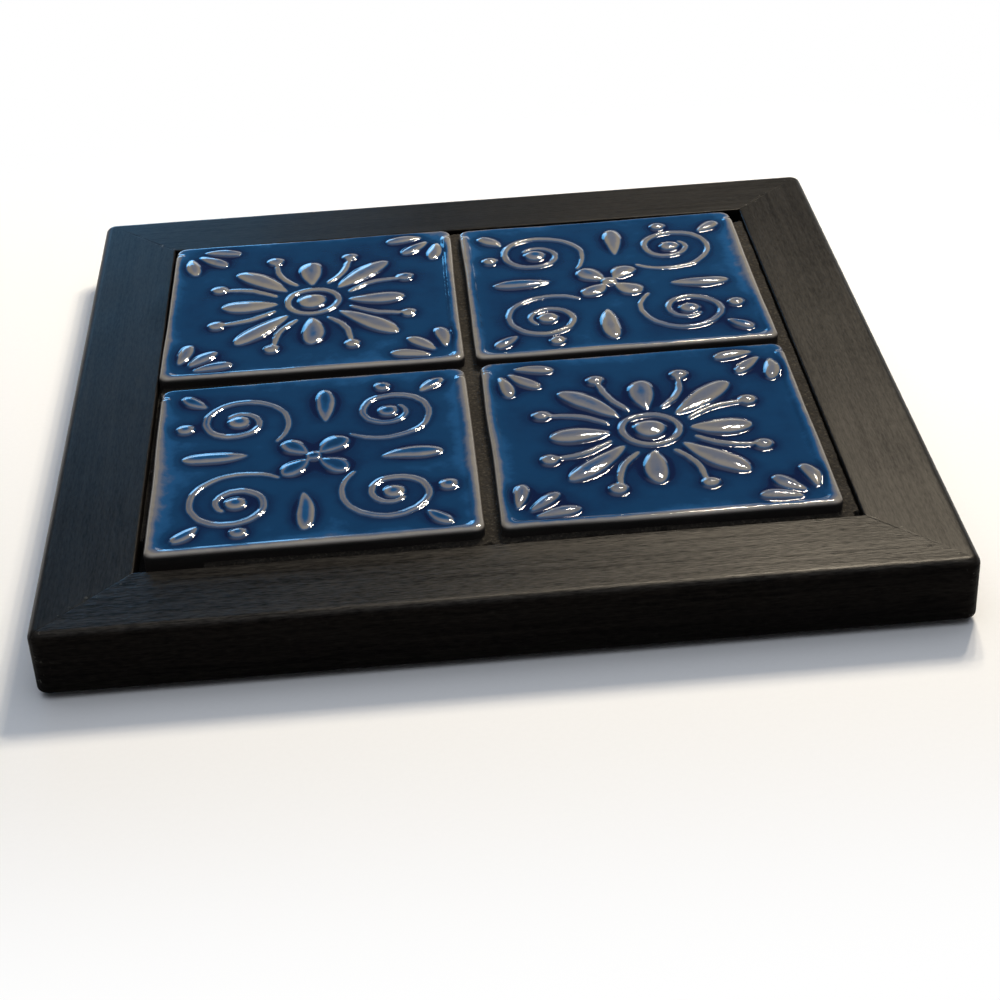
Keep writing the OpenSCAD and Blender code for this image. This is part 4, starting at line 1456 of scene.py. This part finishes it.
def make_key_light():
    """Rows and columns of small lamps, which show as clusters of sparks on a glossy surface."""
    middle = Vector(KEY_PLACE)
    facing = middle.to_track_quat("Z", "Y")
    for row in range(KEY_ROWS):
        for column in range(KEY_COLUMNS):
            across = (column - (KEY_COLUMNS - 1) / 2) * KEY_PITCH
            up = (row - (KEY_ROWS - 1) / 2) * KEY_PITCH
            place = middle + facing @ Vector((across, up, 0))
            make_lamp(f"key_lamp_{row}_{column}", place, (KEY_LAMP_SIZE, KEY_LAMP_SIZE), KEY_WATTS,
                      KEY_COLOUR, "DISK")


def make_room(stage):
    """A dim room with a soft light ceiling."""
    world = bpy.data.worlds.new("room")
    tree = empty_tree(world)
    direction = shader_node(tree, "ShaderNodeTexCoord").outputs["Generated"]
    up = shader_node(tree, "ShaderNodeSeparateXYZ", {0: direction}).outputs["Z"]
    overhead = fitted(tree, up, CEILING_START, 1.0, curve="SMOOTHSTEP")
    colour = mixed(tree, overhead, stage.room, stage.ceiling)
    light = shader_node(tree, "ShaderNodeBackground", {"Color": colour})
    shader_node(tree, "ShaderNodeOutputWorld", {"Surface": light.outputs[0]})
    return world


def make_floor(stage):
    """A round white floor whose edge turns up in a smooth cove."""
    radii = np.linspace(FLOOR_START, stage.floor_radius, FLOOR_RINGS)
    flat = np.stack([radii, np.zeros_like(radii)], -1)
    cove = arc((stage.floor_radius, stage.cove_height), stage.cove_height, -90, 0, COVE_RINGS)[1:]
    profile = np.concatenate([flat, cove])
    angles = np.linspace(0, 2 * pi, FLOOR_SECTORS, endpoint=False)
    x, y = profile[:, :1] * np.cos(angles), profile[:, :1] * np.sin(angles)
    z = np.broadcast_to(profile[:, 1:], x.shape)
    index = np.arange(x.size).reshape(x.shape)
    faces = [index[0].tolist()]
    for inner, outer in zip(index[:-1], index[1:]):
        faces += band_faces(inner, outer)
    mesh = bpy.data.meshes.new("floor")
    mesh.from_pydata(joined(x, y, z).tolist(), [], faces)
    mesh.shade_smooth()
    mesh.materials.append(floor_material(stage))
    floor = bpy.data.objects.new("floor", mesh)
    add_to_scene(floor)


def make_camera(stage):
    """The camera at the photograph's place."""
    camera = bpy.data.cameras.new("camera")
    camera.sensor_width = 36
    camera.lens = stage.lens
    camera.clip_start = 0.01
    holder = bpy.data.objects.new("camera", camera)
    holder.location = CAMERA_PLACE
    holder.rotation_euler = [radians(a) for a in CAMERA_TURN]
    add_to_scene(holder)
    bpy.context.scene.camera = holder


# Operators


class TRIVET_OT_stage(bpy.types.Operator):
    """Make the floor, the lamps and the camera"""

    bl_idname = "trivet.make_stage"
    bl_label = "Stage"

    def execute(self, context):
        stage = context.scene.trivet_stage
        make_camera(stage)
        make_floor(stage)
        make_key_light()
        make_lamp("window", WINDOW_PLACE, WINDOW_SIZE, WINDOW_WATTS, WINDOW_COLOUR)
        context.scene.world = make_room(stage)
        context.scene.view_settings.view_transform = "Standard"
        return {"FINISHED"}


class TRIVET_OT_tiles(bpy.types.Operator):
    """Replace the four plain tiles with glazed handmade ones"""

    bl_idname = "trivet.make_tiles"
    bl_label = "Tiles"

    def execute(self, context):
        tiles = context.scene.trivet_tiles
        material = glazed_tile_material(tiles)
        for order, name in enumerate(TILES):
            make_tile(name, order, tiles, material)
        return {"FINISHED"}


class TRIVET_OT_rails(bpy.types.Operator):
    """Replace the four plain rails with stained ones"""

    bl_idname = "trivet.make_rails"
    bl_label = "Rails"

    def execute(self, context):
        rails = context.scene.trivet_frame
        material = stained_wood_material(rails)
        for order, name in enumerate(RAIL_TURNS):
            make_rail(name, order, rails, material)
        return {"FINISHED"}


class TRIVET_OT_grout(bpy.types.Operator):
    """Replace the plain grout with a gritty, cracked one"""

    bl_idname = "trivet.make_grout"
    bl_label = "Grout"

    def execute(self, context):
        grout = context.scene.trivet_grout
        make_grout(grout, grout_material(grout))
        return {"FINISHED"}


class TRIVET_OT_base(bpy.types.Operator):
    """Finish the base panel, the adhesive and the steel fixings"""

    bl_idname = "trivet.finish_base"
    bl_label = "Base and fixings"

    def execute(self, context):
        base = context.scene.trivet_base
        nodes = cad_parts
        dress(nodes["base_panel"], panel_material(base))
        adhesive = adhesive_material(base)
        for name in TILES:
            dress(nodes["adhesive_" + name], adhesive)
        steel = steel_material()
        for name in ("mitre_nails", "panel_pins"):
            dress(nodes[name], steel)
        return {"FINISHED"}


class TRIVET_OT_pads(bpy.types.Operator):
    """Replace the four plain pads with felt discs"""

    bl_idname = "trivet.make_pads"
    bl_label = "Pads"

    def execute(self, context):
        base = context.scene.trivet_base
        material = felt_material(base)
        for order, name in enumerate(TILES):
            make_pad(name, order, base, material)
        return {"FINISHED"}


OPERATORS = (
    TRIVET_OT_stage, TRIVET_OT_tiles, TRIVET_OT_rails, TRIVET_OT_grout, TRIVET_OT_base, TRIVET_OT_pads)


class TRIVET_PT_panel(bpy.types.Panel):
    """The trivet's pieces in the sidebar"""

    bl_idname = "TRIVET_PT_panel"
    bl_label = "Trivet"
    bl_space_type = "VIEW_3D"
    bl_region_type = "UI"
    bl_category = "Trivet"

    def draw(self, context):
        for operator in OPERATORS:
            self.layout.operator(operator.bl_idname)
        for key, group in SETTINGS.items():
            box = self.layout.box()
            for name in group.__annotations__:
                box.prop(getattr(context.scene, key), name)


def register():
    """Adds the settings, the operators and the panel."""
    for group in SETTINGS.values():
        bpy.utils.register_class(group)
    for key, group in SETTINGS.items():
        setattr(bpy.types.Scene, key, PointerProperty(type=group))
    for piece in (*OPERATORS, TRIVET_PT_panel):
        bpy.utils.register_class(piece)


def unregister():
    """Takes the panel, the operators and the settings out again."""
    for piece in (TRIVET_PT_panel, *reversed(OPERATORS)):
        bpy.utils.unregister_class(piece)
    for key, group in reversed(SETTINGS.items()):
        delattr(bpy.types.Scene, key)
        bpy.utils.unregister_class(group)


def main():
    """Builds the stage and every piece."""
    register()
    bpy.ops.trivet.make_stage()
    bpy.ops.trivet.make_tiles()
    bpy.ops.trivet.make_rails()
    bpy.ops.trivet.make_grout()
    bpy.ops.trivet.finish_base()
    bpy.ops.trivet.make_pads()


if __name__ == "__main__":
    main()
